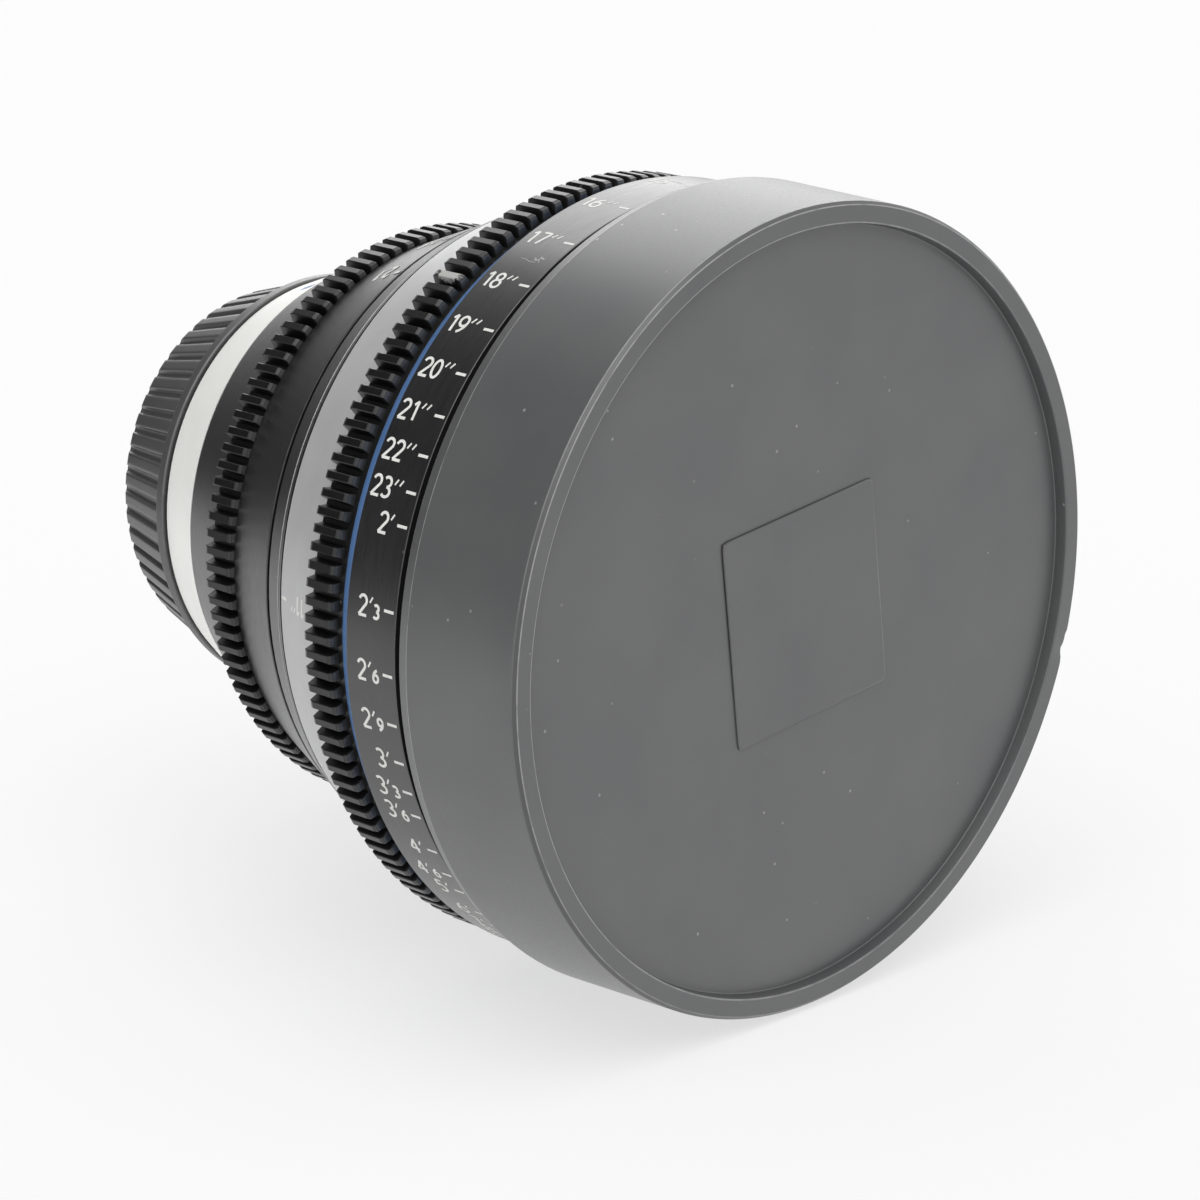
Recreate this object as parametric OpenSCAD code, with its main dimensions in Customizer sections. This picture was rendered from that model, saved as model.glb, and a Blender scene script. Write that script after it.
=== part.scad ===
// Cinema prime lens with both caps on, built as separate rings, barrels, cells and blades.
// The optical axis lies along Y, the front looks towards -Y, and Z is up.
// The origin is the centre of the rear mounting flange. Millimetres and degrees throughout.

/* [Body] */
// radius of the rear mounting flange, where the tapered body ends
flange_r = 32; // [30:0.5:35]
// half angle of the tapered body
cone_angle = 21; // [19.5:0.5:22.5]
// diameter of the front barrel, the standard matte box size
front_dia = 114; // [112:0.5:116]
// length of the silver mount ring
mount_ring_len = 10.7; // [9:0.1:13]
// length of the black mount barrel
mount_barrel_len = 12; // [11:0.1:15]
// length of the fixed index ring
index_len = 4.8; // [3.5:0.1:6]
// width of the open groove between the index ring and the iris ring
index_groove = 0.7; // [0.4:0.1:1.2]

/* [Focus ring] */
// module of both follow-focus gears
gear_module = 0.8; // [0.79:0.01:0.81]
// teeth on the focus gear
focus_teeth = 140; // [138:1:142]
// width of the focus gear
focus_gear_w = 5.6; // [4.5:0.1:7.5]
// length of the front distance scale
focus_scale_len = 10.6; // [9:0.1:13]
// step of the distance scale above the front barrel
scale_step = 0.2; // [0:0.05:1]
// length of the coloured cone between the distance scale and the focus gear
line_w = 3; // [2.4:0.1:3.4]
// depth of the coloured cone
line_drop = 2; // [1.6:0.1:2.4]
// length of the grey rear distance scale
rear_scale_len = 12.3; // [11:0.1:14]
// wall of the grey ring at its front edge
rear_scale_wall = 2.46; // [2:0.02:3]
// metal under the focus tooth roots
focus_rim = 0.7; // [0.5:0.1:1]
// wall of the cam sleeve
sleeve_wall = 2.04; // [1.9:0.02:2.6]
// turn from the rest pose to the close stop
focus_close_deg = 70; // [60:1:80]
// turn from the rest pose to infinity
focus_far_deg = 172; // [160:1:180]
// axial travel of the front lens group between the two stops
focus_travel = 3; // [2:0.1:3.4]

/* [Iris] */
// teeth on the iris gear
iris_teeth = 108; // [106:1:110]
// width of the iris gear
iris_gear_w = 5.7; // [5.5:0.1:8]
// length of the aperture scale
iris_scale_len = 12.3; // [11:0.1:14]
// metal under the iris tooth roots
iris_rim = 1.6; // [1:0.1:2]
// wall of the iris ring's hub
hub_wall = 2; // [1.5:0.1:2.6]
// turn from the rest pose to wide open
iris_open_deg = 27; // [24:1:30]
// turn from the rest pose to the smallest stop
iris_stop_deg = 61; // [56:1:64]
// blade turn per degree of iris ring turn
blade_ratio = 0.41; // [0.38:0.01:0.43]
// radius of the pivot circle
pivot_r = 22; // [21:0.25:23]
// inner radius of an open blade
blade_in = 15; // [14:0.25:15.5]
// room between the blades and the pivot circle
blade_room = 1.8; // [1.6:0.1:2.2]
// thickness of a blade
blade_t = 0.2; // [0.15:0.05:0.25]
// step from one blade level to the next
blade_pitch = 0.55; // [0.5:0.05:0.65]
// distance from the pivot to the drive pin
tail_len = 7.5; // [7:0.1:8]
// radius of the pivot pins
pivot_pin_r = 0.5; // [0.4:0.05:0.6]
// radius of the drive pins
drive_pin_r = 0.35; // [0.3:0.05:0.4]

/* [Caps] */
// length of the front cap
cap_len = 22.6; // [20:0.2:26]
// wall of the front cap at its face
cap_wall = 1.44; // [1.2:0.05:2]
// outward flare of the cap's open edge
cap_flare = 0.5; // [0:0.1:0.8]
// width of the raised rim on the cap's face
cap_rim_w = 3.1; // [2.5:0.1:6]
// depth of the recess in the cap's face
cap_recess = 1.9; // [1:0.1:2.4]
// thickness of the cap's face
cap_floor = 1.8; // [1.4:0.1:2.4]
// black groove between the cap and the distance scale
cap_groove = 2; // [1.2:0.1:3]
// side of the bare raised panel on the cap's face
panel_side = 31; // [20:1:40]
// turn of the panel on the cap's face, from X towards Z
panel_turn = 7; // [0:1:15]
// length of the rear cap
rear_cap_len = 14.7; // [13:0.1:17]
// ribs round the rear cap
rear_ribs = 57; // [48:1:64]
// wall of the rear cap under the ribs at its open edge
rear_cap_wall = 2.6; // [2.2:0.1:3.2]
// wall of the rear cap under the ribs at its closed end
rear_end_wall = 0.95; // [0.8:0.05:1.3]
// draw-in of the rear cap's ribbed side from its open edge to its closed end
rear_cap_taper = 3.4; // [2.6:0.1:4]
// width of a slot between two ribs of the rear cap
rear_slot_w = 1.2; // [1:0.1:1.6]
// room round the bayonet lugs inside the rear cap
rear_cap_room = 1.1; // [0.8:0.1:1.6]

/* [Mount] */
// radius of the bayonet tube
bayonet_r = 25.6; // [25:0.1:26.2]
// reach of the bayonet lugs beyond the tube
lug_reach = 1.6; // [1.2:0.1:1.9]
// thickness of a lug
lug_t = 1.6; // [1.2:0.1:2]
// angle covered by one lug
lug_deg = 56; // [50:1:57]
// length of the bayonet tube behind the flange
bayonet_len = 6.2; // [5.5:0.1:7]
// thickness of the flange focal shim
shim_t = 0.2; // [0.1:0.05:0.4]
// screws holding the mount ring
mount_screws_n = 4; // [3:1:6]

/* [Clearances] */
// radial clearance of the running fits
run_clr = 0.06; // [0.04:0.01:0.08]
// gap between parts that move past each other
ring_gap = 0.35; // [0.3:0.05:0.45]
// clearance beside pins and keys
pin_clr = 0.06; // [0.04:0.01:0.08]

/* [Hidden] */
$fn = 128;
function sag(ball, r) = ball - sqrt(ball * ball - r * r);

// stations along the axis, counted forward from the flange
y_mr = -mount_ring_len;
y_mb = y_mr - mount_barrel_len;
y_ig1 = y_mb - ring_gap;
y_ig0 = y_ig1 - iris_gear_w;
y_is0 = y_ig0 - iris_scale_len;
y_ix1 = y_is0 - index_groove;
y_ix0 = y_ix1 - index_len;
y_gr1 = y_ix0 - ring_gap;
y_gr0 = y_gr1 - rear_scale_len;
y_fg0 = y_gr0 - focus_gear_w;
y_fl0 = y_fg0 - line_w;
y_fs0 = y_fl0 - focus_scale_len;
y_fb1 = y_fs0 - ring_gap;
y_cap1 = y_fs0 - cap_groove;
y_cap0 = y_cap1 - cap_len;
y_cap_in = y_cap0 + cap_recess + cap_floor;
y_fb0 = y_cap_in + ring_gap;

// radii that follow from the front diameter, the gears and the taper
front_r = front_dia / 2;
focus_tip_r = gear_module * (focus_teeth + 2) / 2;
focus_root_r = gear_module * (focus_teeth - 2.5) / 2;
scale_r = front_r + scale_step;
function cone_r(y) = flange_r - y * tan(cone_angle);
sleeve_out = focus_root_r - focus_rim;
sleeve_in = sleeve_out - sleeve_wall;
tube_a = sleeve_in - run_clr;
tube_wall = 2.8;
tube_a_in = tube_a - tube_wall;
tube_b = cone_r(y_ix1) - 3.1;
tube_b_in = tube_b - 2.5;
iris_tip_r = gear_module * (iris_teeth + 2) / 2;
iris_root_r = gear_module * (iris_teeth - 2.5) / 2;
hub_r = iris_root_r - iris_rim;
iris_bore = hub_r - hub_wall;
tube_c = iris_bore - run_clr;
tube_c_in = tube_c - 3;
cap_bore = front_r + run_clr;
cap_r = front_r + run_clr + cap_wall;

// grub screws of the index ring
index_screw_angles = [-35, 0, 35];
index_screw_r = 1;

// focus drive
focus_deg = focus_close_deg + focus_far_deg;
lead = focus_travel * 360 / focus_deg;
carriage_r = tube_a_in - run_clr;
carriage_wall = 3.2;
follower_r = 1.5;
follower_y = (y_fs0 + y_gr0) / 2 - 1;
follower_deg = 90;
groove_floor = sleeve_out - 0.5;
key_angles = [0, 180];
key_w = 4;
key_len = 6;
key_y = follower_y - 10;

// front lens group, at rest, counted back from its front edge
cell_y0 = y_fb0 + 7.5;
cell_r = carriage_r - carriage_wall;
cell_wall = 3;
seat_gap = 0.3;
glass_a_r = 34;
glass_b_r = 28;
glass_c_r = 22;
glass_d_r = 17;
ball_1a = 90;
ball_1b = 60;
ball_2a = 60;
ball_2b = 35;
ball_3a = 45;
ball_3b = 60;
ball_4a = 50;
ball_45 = 60;
ball_5b = 45;
e1_y0 = cell_y0 - 3.5;
e1_y1 = e1_y0 + 4;
seat_a = e1_y1 + sag(ball_1b, glass_a_r) + seat_gap;
e2_y0 = e1_y1 + 7;
e2_y1 = e2_y0 + 2.5;
seat_b = e2_y1 + sag(ball_2b, glass_b_r) + seat_gap;
e3_y0 = seat_b + seat_gap - sag(ball_3a, glass_c_r);
e3_y1 = e3_y0 + 12;
seat_c = e3_y1 - sag(ball_3b, glass_d_r) + seat_gap;
e4_y0 = e3_y1 + 1.6;
e4_y1 = e4_y0 + 8;
e5_y1 = e4_y1 + 2;
cell_back = e5_y1 + sag(ball_5b, glass_d_r) + 1.5;
cell_ring_w = 2;

// iris drive
iris_pin_r = 1.2;
iris_pin_y = y_is0 + 2.8;
cam_y0 = iris_pin_y - 0.9;
cam_t = 1.2;
cam_r = tube_c_in - run_clr;
blade_n = 14;
blade_out = pivot_r - blade_room;
blade_rest = -blade_ratio * iris_open_deg;
blade_y0 = cam_y0 + cam_t + ring_gap;
plate_y0 = blade_y0 + blade_pitch * (blade_n - 1) + blade_t + ring_gap;
plate_t = 1.5;
tail_a = 105;
stop_r = blade_in - 1.5;

// rear lens group
spigot_y = y_mb - 1.9;
rear_flange_t = 1.6;
rear_cell_r = bayonet_r - 2.1;
rear_glass_r = 16.5;

// rear cap
rear_cap_y0 = ring_gap;
rear_cap_y1 = rear_cap_y0 + rear_cap_len;
lug_y0 = 1.9;
cap_lug_t = lug_y0 - 2 * ring_gap - 0.15;
rib_h = 0.7;
rear_cavity_r = bayonet_r + lug_reach + rear_cap_room;
rear_side_r = rear_cavity_r + rear_cap_wall + rib_h;
rear_cap_r = rear_side_r + 0.8;
rear_side_y0 = rear_cap_y0 + 1.9;
rear_side_y1 = rear_cap_y1 - 0.8;
rear_floor_y = rear_cap_y1 - 2.4;
rear_slope = rear_cap_taper / (rear_side_y1 - rear_side_y0);
rear_end_r = rear_side_r - rear_cap_taper;
rear_hollow_r = rear_side_r - rear_slope * (rear_floor_y - rear_side_y0) - rib_h - rear_end_wall;

// turn a shape built along its own Z onto the optical axis
module on_axis() {
  rotate([-90, 0, 0]) children();
}

// spin an outline of radius and axial station round the optical axis
module spin(outline) {
  on_axis() rotate_extrude() polygon(outline);
}

// pie-shaped outline between two angles, wide enough to cover the radius
module pie(from, to, r) {
  steps = ceil((to - from) / 20);
  polygon(concat([[0, 0]], [for (i = [0:steps])
    let (a = from + (to - from) * i / steps) 1.1 * r * [cos(a), sin(a)]]));
}

// ring sector between two radii, two angles and two stations
module ring_sector(r0, r1, from, to, y0, y1) {
  on_axis() translate([0, 0, y0]) intersection() {
    difference() {
      cylinder(r = r1, h = y1 - y0);
      translate([0, 0, -1]) cylinder(r = r0, h = y1 - y0 + 2);
    }
    linear_extrude(height = y1 - y0) pie(from, to, r1);
  }
}

// round bar pointing out from the axis at one angle and station
module radial_bar(angle, y, r0, r1, bar_r) {
  on_axis() rotate([0, 0, angle]) translate([r0, 0, y]) rotate([0, 90, 0])
    cylinder(r = bar_r, h = r1 - r0);
}

// block pointing out from the axis, with its width across the axis and its length along it
module radial_block(angle, y, r0, r1, width, length) {
  on_axis() rotate([0, 0, angle]) translate([r0, -width / 2, y - length / 2])
    cube([r1 - r0, width, length]);
}

// toothed outline with straight flanks
module gear_outline(teeth) {
  root = gear_module * (teeth - 2.5) / 2;
  tip = gear_module * (teeth + 2) / 2;
  step = 360 / teeth;
  polygon([for (i = [0:teeth - 1], k = [0:3])
    let (a = step * (i + [-0.36, -0.15, 0.15, 0.36][k]), r = (k == 0 || k == 3) ? root : tip)
    r * [cos(a), sin(a)]]);
}

module gear_ring(teeth, bore, y0, y1) {
  on_axis() translate([0, 0, y0]) difference() {
    linear_extrude(height = y1 - y0) gear_outline(teeth);
    translate([0, 0, -1]) cylinder(r = bore, h = y1 - y0 + 2);
  }
}

// glass between two vertices; a positive ball bulges outward and a negative one is hollow
module glass(y_front, y_back, r, ball_front, ball_back) {
  lead_in = ball_front < 0 ? sag(-ball_front, r) : 0;
  lead_out = ball_back < 0 ? sag(-ball_back, r) : 0;
  on_axis() difference() {
    intersection() {
      translate([0, 0, y_front - lead_in]) cylinder(r = r, h = y_back - y_front + lead_in + lead_out);
      if (ball_front > 0) translate([0, 0, y_front + ball_front]) sphere(r = ball_front);
      if (ball_back > 0) translate([0, 0, y_back - ball_back]) sphere(r = ball_back);
    }
    if (ball_front < 0) translate([0, 0, y_front + ball_front]) sphere(r = -ball_front);
    if (ball_back < 0) translate([0, 0, y_back - ball_back]) sphere(r = -ball_back);
  }
}

// slip-on front cap with a raised rim and a bare raised panel
module front_cap() {
  color([0.34, 0.35, 0.35]) union() {
    spin([
      [0, y_cap0 + cap_recess], [cap_r - cap_rim_w - 0.5, y_cap0 + cap_recess],
      [cap_r - cap_rim_w, y_cap0 + 0.3], [cap_r - cap_rim_w + 0.3, y_cap0],
      [cap_r - 0.4, y_cap0], [cap_r, y_cap0 + 0.4],
      [cap_r + cap_flare, y_cap1 - 0.9], [cap_r + cap_flare - 0.7, y_cap1],
      [cap_bore, y_cap1], [cap_bore, y_cap_in], [0, y_cap_in]
    ]);
    rotate([0, -panel_turn, 0]) translate([-panel_side / 2, y_cap0 + cap_recess - 0.3, -panel_side / 2])
      cube([panel_side, 0.6, panel_side]);
  }
}

// bayonet rear cap with ribs outside and three lugs inside, turned to its release position
module rear_cap() {
  color([0.2, 0.2, 0.2]) union() {
    difference() {
      spin([
        [rear_cavity_r, rear_cap_y0], [rear_cap_r - 0.3, rear_cap_y0], [rear_cap_r, rear_cap_y0 + 0.3],
        [rear_cap_r, rear_cap_y0 + 1.5], [rear_side_r, rear_side_y0],
        [rear_end_r, rear_side_y1], [rear_end_r - 0.8, rear_cap_y1],
        [0, rear_cap_y1], [0, rear_floor_y], [rear_hollow_r, rear_floor_y],
        [rear_cavity_r, lug_y0 + lug_t + ring_gap]
      ]);
      for (i = [0:rear_ribs - 1])
        on_axis() rotate([0, 0, 360 / rear_ribs * i])
          translate([rear_side_r - 0.5 * rear_slope - rib_h, -rear_slot_w / 2, rear_side_y0 + 0.5])
            rotate([0, -atan(rear_slope), 0]) cube([3, rear_slot_w, rear_cap_len]);
    }
    for (i = [0:2])
      ring_sector(bayonet_r + ring_gap, rear_cavity_r + 0.4, 120 * i + 60 - lug_deg / 2 + 2,
        120 * i + 60 + lug_deg / 2 - 2, rear_cap_y0 + 0.15, rear_cap_y0 + 0.15 + cap_lug_t);
  }
}

// fixed front barrel of the standard diameter
module front_barrel() {
  color([0.08, 0.08, 0.09]) spin([
    [tube_a, y_fb0], [front_r - 0.8, y_fb0], [front_r, y_fb0 + 0.8],
    [front_r, y_cap1 - 0.2], [front_r - 1.6, y_cap1 + 0.5], [front_r - 1.6, y_fb1],
    [tube_a, y_fb1]
  ]);
}

// matte cone round the front element
module front_baffle() {
  color([0.05, 0.05, 0.05]) spin([
    [tube_a, y_fb0 + 0.2], [tube_a, y_fb0 + 2], [tube_a_in - 0.4, y_fb0 + 2],
    [cell_r - 7.5, y_fb0 + 5.8], [cell_r - 9, y_fb0 + 5.8], [cell_r - 9, y_fb0 + 4.8],
    [tube_a_in - 2, y_fb0 + 0.2]
  ]);
}

// stepped fixed tube that carries the focus ring and the iris ring
module main_barrel() {
  slot_a = (iris_pin_r + ring_gap) / tube_c * 180 / PI + 1;
  pin_slot = focus_travel + 2 * follower_r + 1;
  color([0.12, 0.12, 0.13]) difference() {
    spin([
      [tube_a_in, y_fb0 + 2], [tube_a, y_fb0 + 2], [tube_a, y_gr0 - 0.8],
      [tube_b, y_gr0 - 0.8], [tube_b, y_ix1], [tube_c, y_ix1], [tube_c, y_mb],
      [tube_c_in, y_mb], [tube_c_in, y_ix1 - 2.5], [tube_b_in, y_ix1 - 2.5],
      [tube_b_in, y_gr0 - 3.3], [tube_a_in, y_gr0 - 3.3]
    ]);
    radial_block(follower_deg, follower_y + lead * (focus_far_deg - focus_close_deg) / 720,
      tube_a_in - 1, tube_a + 1, 2 * (follower_r + pin_clr), pin_slot);
    for (a = key_angles)
      radial_block(a, (y_fb0 + key_y + key_len + focus_travel) / 2, tube_a_in - 1, tube_a_in + 1.5,
        key_w + 2 * pin_clr, key_y + key_len + focus_travel - y_fb0);
    ring_sector(tube_c_in - 1, tube_c + 1, follower_deg - iris_stop_deg - slot_a,
      follower_deg + iris_open_deg + slot_a, iris_pin_y - iris_pin_r - ring_gap,
      iris_pin_y + iris_pin_r + ring_gap);
  }
}

// fixed index ring between the focus ring and the iris ring
module index_ring() {
  color([0.07, 0.07, 0.08]) difference() {
    spin([
      [tube_b, y_ix0], [cone_r(y_ix0), y_ix0], [cone_r(y_ix1) - 0.1, y_ix1 - 0.2],
      [cone_r(y_ix1) - 0.4, y_ix1], [tube_b, y_ix1]
    ]);
    for (a = index_screw_angles)
      radial_bar(a, (y_ix0 + y_ix1) / 2, tube_b - 1, tube_b + 8, index_screw_r);
  }
}

// grub screws that lock the index ring
module index_screws() {
  color([0.5, 0.5, 0.52])
    for (a = index_screw_angles)
      radial_bar(a, (y_ix0 + y_ix1) / 2, tube_b + 0.1, tube_b + 2.6, index_screw_r);
}

// tapered black barrel behind the iris ring
module mount_barrel() {
  color([0.07, 0.07, 0.08]) spin([
    [tube_c_in - 3, spigot_y], [tube_c_in, spigot_y], [tube_c_in, y_mb],
    [cone_r(y_mb), y_mb], [cone_r(y_mr), y_mr], [bayonet_r + 1, y_mr],
    [bayonet_r + 1, y_mr - 3], [tube_c_in - 3, y_mr - 6]
  ]);
}

// shim that sets the flange focal distance
module mount_shim() {
  color([0.7, 0.7, 0.7]) spin([
    [bayonet_r + 1, y_mr], [cone_r(y_mr) - 0.6, y_mr], [cone_r(y_mr) - 0.6, y_mr + shim_t],
    [bayonet_r + 1, y_mr + shim_t]
  ]);
}

// silver ring that ends in the mounting flange
module mount_ring() {
  color([0.86, 0.86, 0.83]) difference() {
    spin([
      [bayonet_r, y_mr + shim_t], [cone_r(y_mr + shim_t), y_mr + shim_t], [flange_r + 0.2, -0.5],
      [flange_r - 0.3, 0], [bayonet_r, 0]
    ]);
    mount_screw_bars(0);
  }
}

module mount_screw_bars(slot) {
  screw_ring_r = (bayonet_r + flange_r) / 2;
  for (i = [0:mount_screws_n - 1])
    on_axis() rotate([0, 0, 360 / mount_screws_n * (i + 0.5)]) translate([screw_ring_r, 0, 0])
      difference() {
        union() {
          translate([0, 0, -1.4]) cylinder(r = 1.9, h = 1.4);
          translate([0, 0, y_mr + shim_t]) cylinder(r = 1, h = -y_mr - shim_t - 1.4);
        }
        if (slot > 0) {
          translate([-0.3, -1.4, -0.6]) cube([0.6, 2.8, 1]);
          translate([-1.4, -0.3, -0.6]) cube([2.8, 0.6, 1]);
        }
      }
}

// cross-head screws in the flange
module mount_screws() {
  color([0.75, 0.75, 0.75]) mount_screw_bars(1);
}

// bayonet tube with three lugs
module bayonet() {
  color([0.7, 0.7, 0.7]) union() {
    spin([
      [bayonet_r - 1.6, y_mr + shim_t], [bayonet_r, y_mr + shim_t], [bayonet_r, bayonet_len - 0.4],
      [bayonet_r - 0.4, bayonet_len], [bayonet_r - 1.6, bayonet_len]
    ]);
    for (i = [0:2])
      ring_sector(bayonet_r - 0.4, bayonet_r + lug_reach, 120 * i - lug_deg / 2,
        120 * i + lug_deg / 2, lug_y0, lug_y0 + lug_t);
  }
}

// cam sleeve that turns on the main barrel; its groove, cut in small steps, drives the follower pin
module focus_sleeve() {
  steps = 50;
  step = (focus_deg + 5) / steps;
  rise = lead * step / 360;
  mid_r = (sleeve_in - 1 + groove_floor) / 2;
  color([0.55, 0.47, 0.3]) difference() {
    spin([[sleeve_in, y_fs0], [sleeve_out, y_fs0], [sleeve_out, y_gr0], [sleeve_in, y_gr0]]);
    for (i = [0:steps])
      let (turn = -focus_close_deg - 2.5 + step * i)
        on_axis() rotate([0, 0, follower_deg - turn])
          translate([mid_r, 0, follower_y + lead * turn / 360])
            cube([groove_floor - sleeve_in + 1, 2 * groove_floor * tan(step / 2) + 0.3,
              2 * (follower_r + pin_clr) + rise], center = true);
  }
}

// front distance scale
module focus_scale_ring() {
  color([0.07, 0.07, 0.08]) spin([
    [sleeve_out, y_fs0], [scale_r - 0.3, y_fs0], [scale_r, y_fs0 + 0.3], [scale_r, y_fl0],
    [sleeve_out, y_fl0]
  ]);
}

// coloured cone behind the distance scale
module focus_line() {
  color([0.16, 0.28, 0.6]) spin([
    [sleeve_out, y_fl0], [scale_r, y_fl0], [scale_r - line_drop, y_fg0], [sleeve_out, y_fg0]
  ]);
}

// follow-focus gear
module focus_gear() {
  color([0.06, 0.06, 0.06]) gear_ring(focus_teeth, sleeve_out, y_fg0, y_gr0);
}

// tapered grey ring with the rear distance scale
module focus_rear_scale() {
  scale_in = cone_r(y_gr0) - rear_scale_wall;
  color([0.62, 0.62, 0.63]) spin([
    [scale_in, y_gr0], [cone_r(y_gr0), y_gr0], [cone_r(y_gr1), y_gr1], [tube_b + ring_gap, y_gr1],
    [tube_b + ring_gap, y_gr0 + 5], [scale_in, y_gr0 + 1.5]
  ]);
}

// sleeve that slides in the main barrel with the front lens group
module carriage() {
  color([0.3, 0.3, 0.32]) difference() {
    spin([
      [cell_r, cell_y0], [carriage_r, cell_y0], [carriage_r, follower_y + 4.5], [cell_r, follower_y + 4.5]
    ]);
    radial_bar(follower_deg, follower_y, cell_r - 1, carriage_r + 1, follower_r);
    for (a = key_angles)
      radial_block(a, key_y, carriage_r - 1.2, carriage_r + 1, key_w, key_len);
  }
}

// two keys that stop the carriage turning
module guide_keys() {
  color([0.72, 0.6, 0.32])
    for (a = key_angles)
      radial_block(a, key_y, carriage_r - 1.2, tube_a_in + 1.2, key_w, key_len);
}

// pin that follows the groove of the cam sleeve
module follower_pin() {
  color([0.75, 0.75, 0.77])
    radial_bar(follower_deg, follower_y, cell_r + 0.2, groove_floor - 0.3, follower_r);
}

// stepped cell of the front lens group
module front_cell() {
  color([0.1, 0.1, 0.1]) spin([
    [cell_r, cell_y0], [cell_r, cell_y0 + 6.5],
    [glass_a_r + cell_wall, cell_y0 + 6.5], [glass_a_r + cell_wall, seat_a + cell_wall / 2],
    [glass_b_r + cell_wall, seat_a + cell_wall / 2], [glass_b_r + cell_wall, seat_b + cell_wall / 2],
    [glass_c_r + cell_wall, seat_b + cell_wall / 2], [glass_c_r + cell_wall, seat_c + cell_wall / 2],
    [glass_d_r + cell_wall, seat_c + cell_wall / 2], [glass_d_r + cell_wall, cell_back],
    [glass_d_r, cell_back], [glass_d_r, seat_c], [glass_c_r, seat_c],
    [glass_c_r, seat_b], [glass_b_r, seat_b], [glass_b_r, seat_a],
    [glass_a_r, seat_a], [glass_a_r, cell_y0]
  ]);
}

// threaded ring that holds the front element
module front_cell_ring() {
  ring_y1 = e1_y0 + sag(ball_1a, glass_a_r - cell_ring_w) - seat_gap / 2;
  color([0.06, 0.06, 0.06]) spin([
    [glass_a_r - cell_ring_w, ring_y1 - cell_ring_w], [glass_a_r, ring_y1 - cell_ring_w],
    [glass_a_r, ring_y1], [glass_a_r - cell_ring_w, ring_y1]
  ]);
}

module element_1() {
  color([0.55, 0.7, 0.75, 0.5]) glass(e1_y0, e1_y1, glass_a_r, ball_1a, -ball_1b);
}

module element_2() {
  color([0.55, 0.7, 0.75, 0.5]) glass(e2_y0, e2_y1, glass_b_r, ball_2a, -ball_2b);
}

module element_3() {
  color([0.55, 0.7, 0.75, 0.5]) glass(e3_y0, e3_y1, glass_c_r, ball_3a, ball_3b);
}

module element_4() {
  color([0.55, 0.7, 0.75, 0.5]) glass(e4_y0, e4_y1, glass_d_r, ball_4a, ball_45);
}

module element_5() {
  color([0.55, 0.7, 0.75, 0.5]) glass(e4_y1, e5_y1, glass_d_r, -ball_45, -ball_5b);
}

// tapered ring with the aperture scale, on a hub that turns on the main barrel
module iris_scale_ring() {
  color([0.07, 0.07, 0.08]) difference() {
    spin([
      [iris_bore, y_is0], [cone_r(y_is0) - 0.4, y_is0], [cone_r(y_is0) - 0.1, y_is0 + 0.3],
      [cone_r(y_ig0), y_ig0], [hub_r, y_ig0], [hub_r, y_ig1], [iris_bore, y_ig1]
    ]);
    radial_bar(follower_deg, iris_pin_y, iris_bore - 1, iris_bore + 3, iris_pin_r);
  }
}

// iris gear
module iris_gear() {
  color([0.06, 0.06, 0.06]) gear_ring(iris_teeth, hub_r, y_ig0, y_ig1);
}

// pin that carries the iris ring's turn through the barrel to the cam ring
module iris_pin() {
  color([0.75, 0.75, 0.77])
    radial_bar(follower_deg, iris_pin_y, cam_r - 1.6, iris_bore + 3, iris_pin_r);
}

// place of a drive pin on its blade circle, for one blade turn, in the pivot's own frame
function drive_at(turn) = [
  pivot_r + tail_len * cos(tail_a + turn),
  tail_len * sin(tail_a + turn)
];

// the same place seen from the cam ring, which turns further than the blade
function cam_at(turn) = let (
  p = drive_at(turn),
  ring = turn / blade_ratio + iris_open_deg,
  a = atan2(p[1], p[0]) - ring
) norm(p) * [cos(a), sin(a)];

// cam ring with one spiral slot for each blade
module iris_cam() {
  steps = 22;
  last = blade_ratio * (iris_open_deg + iris_stop_deg);
  half = drive_pin_r + pin_clr;
  spots = [for (i = [-1:steps + 1]) cam_at(-last * i / steps)];
  side = [for (i = [1:steps + 1]) let (d = spots[i + 1] - spots[i - 1]) half * [-d[1], d[0]] / norm(d)];
  ends = [for (i = [1, steps + 1]) let (d = spots[i + 1] - spots[i - 1]) half * d / norm(d)];
  outline = concat(
    [spots[1] - ends[0] + side[0]],
    [for (i = [1:steps + 1]) spots[i] + side[i - 1]],
    [spots[steps + 1] + ends[1] + side[steps], spots[steps + 1] + ends[1] - side[steps]],
    [for (i = [steps + 1:-1:1]) spots[i] - side[i - 1]],
    [spots[1] - ends[0] - side[0]]
  );
  color([0.35, 0.35, 0.37]) difference() {
    spin([
      [blade_out - 1.5, cam_y0], [cam_r - 2.4, cam_y0], [cam_r - 2.4, iris_pin_y - 2],
      [cam_r, iris_pin_y - 2], [cam_r, iris_pin_y + 2], [cam_r - 2.4, iris_pin_y + 2],
      [cam_r - 2.4, cam_y0 + cam_t], [blade_out - 1.5, cam_y0 + cam_t]
    ]);
    for (b = [0:blade_n - 1])
      on_axis() rotate([0, 0, 360 / blade_n * b]) translate([0, 0, cam_y0 - 0.5])
        linear_extrude(height = cam_t + 1) polygon(outline);
    radial_bar(follower_deg, iris_pin_y, cam_r - 1.6, cam_r + 1, iris_pin_r);
  }
}

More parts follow.
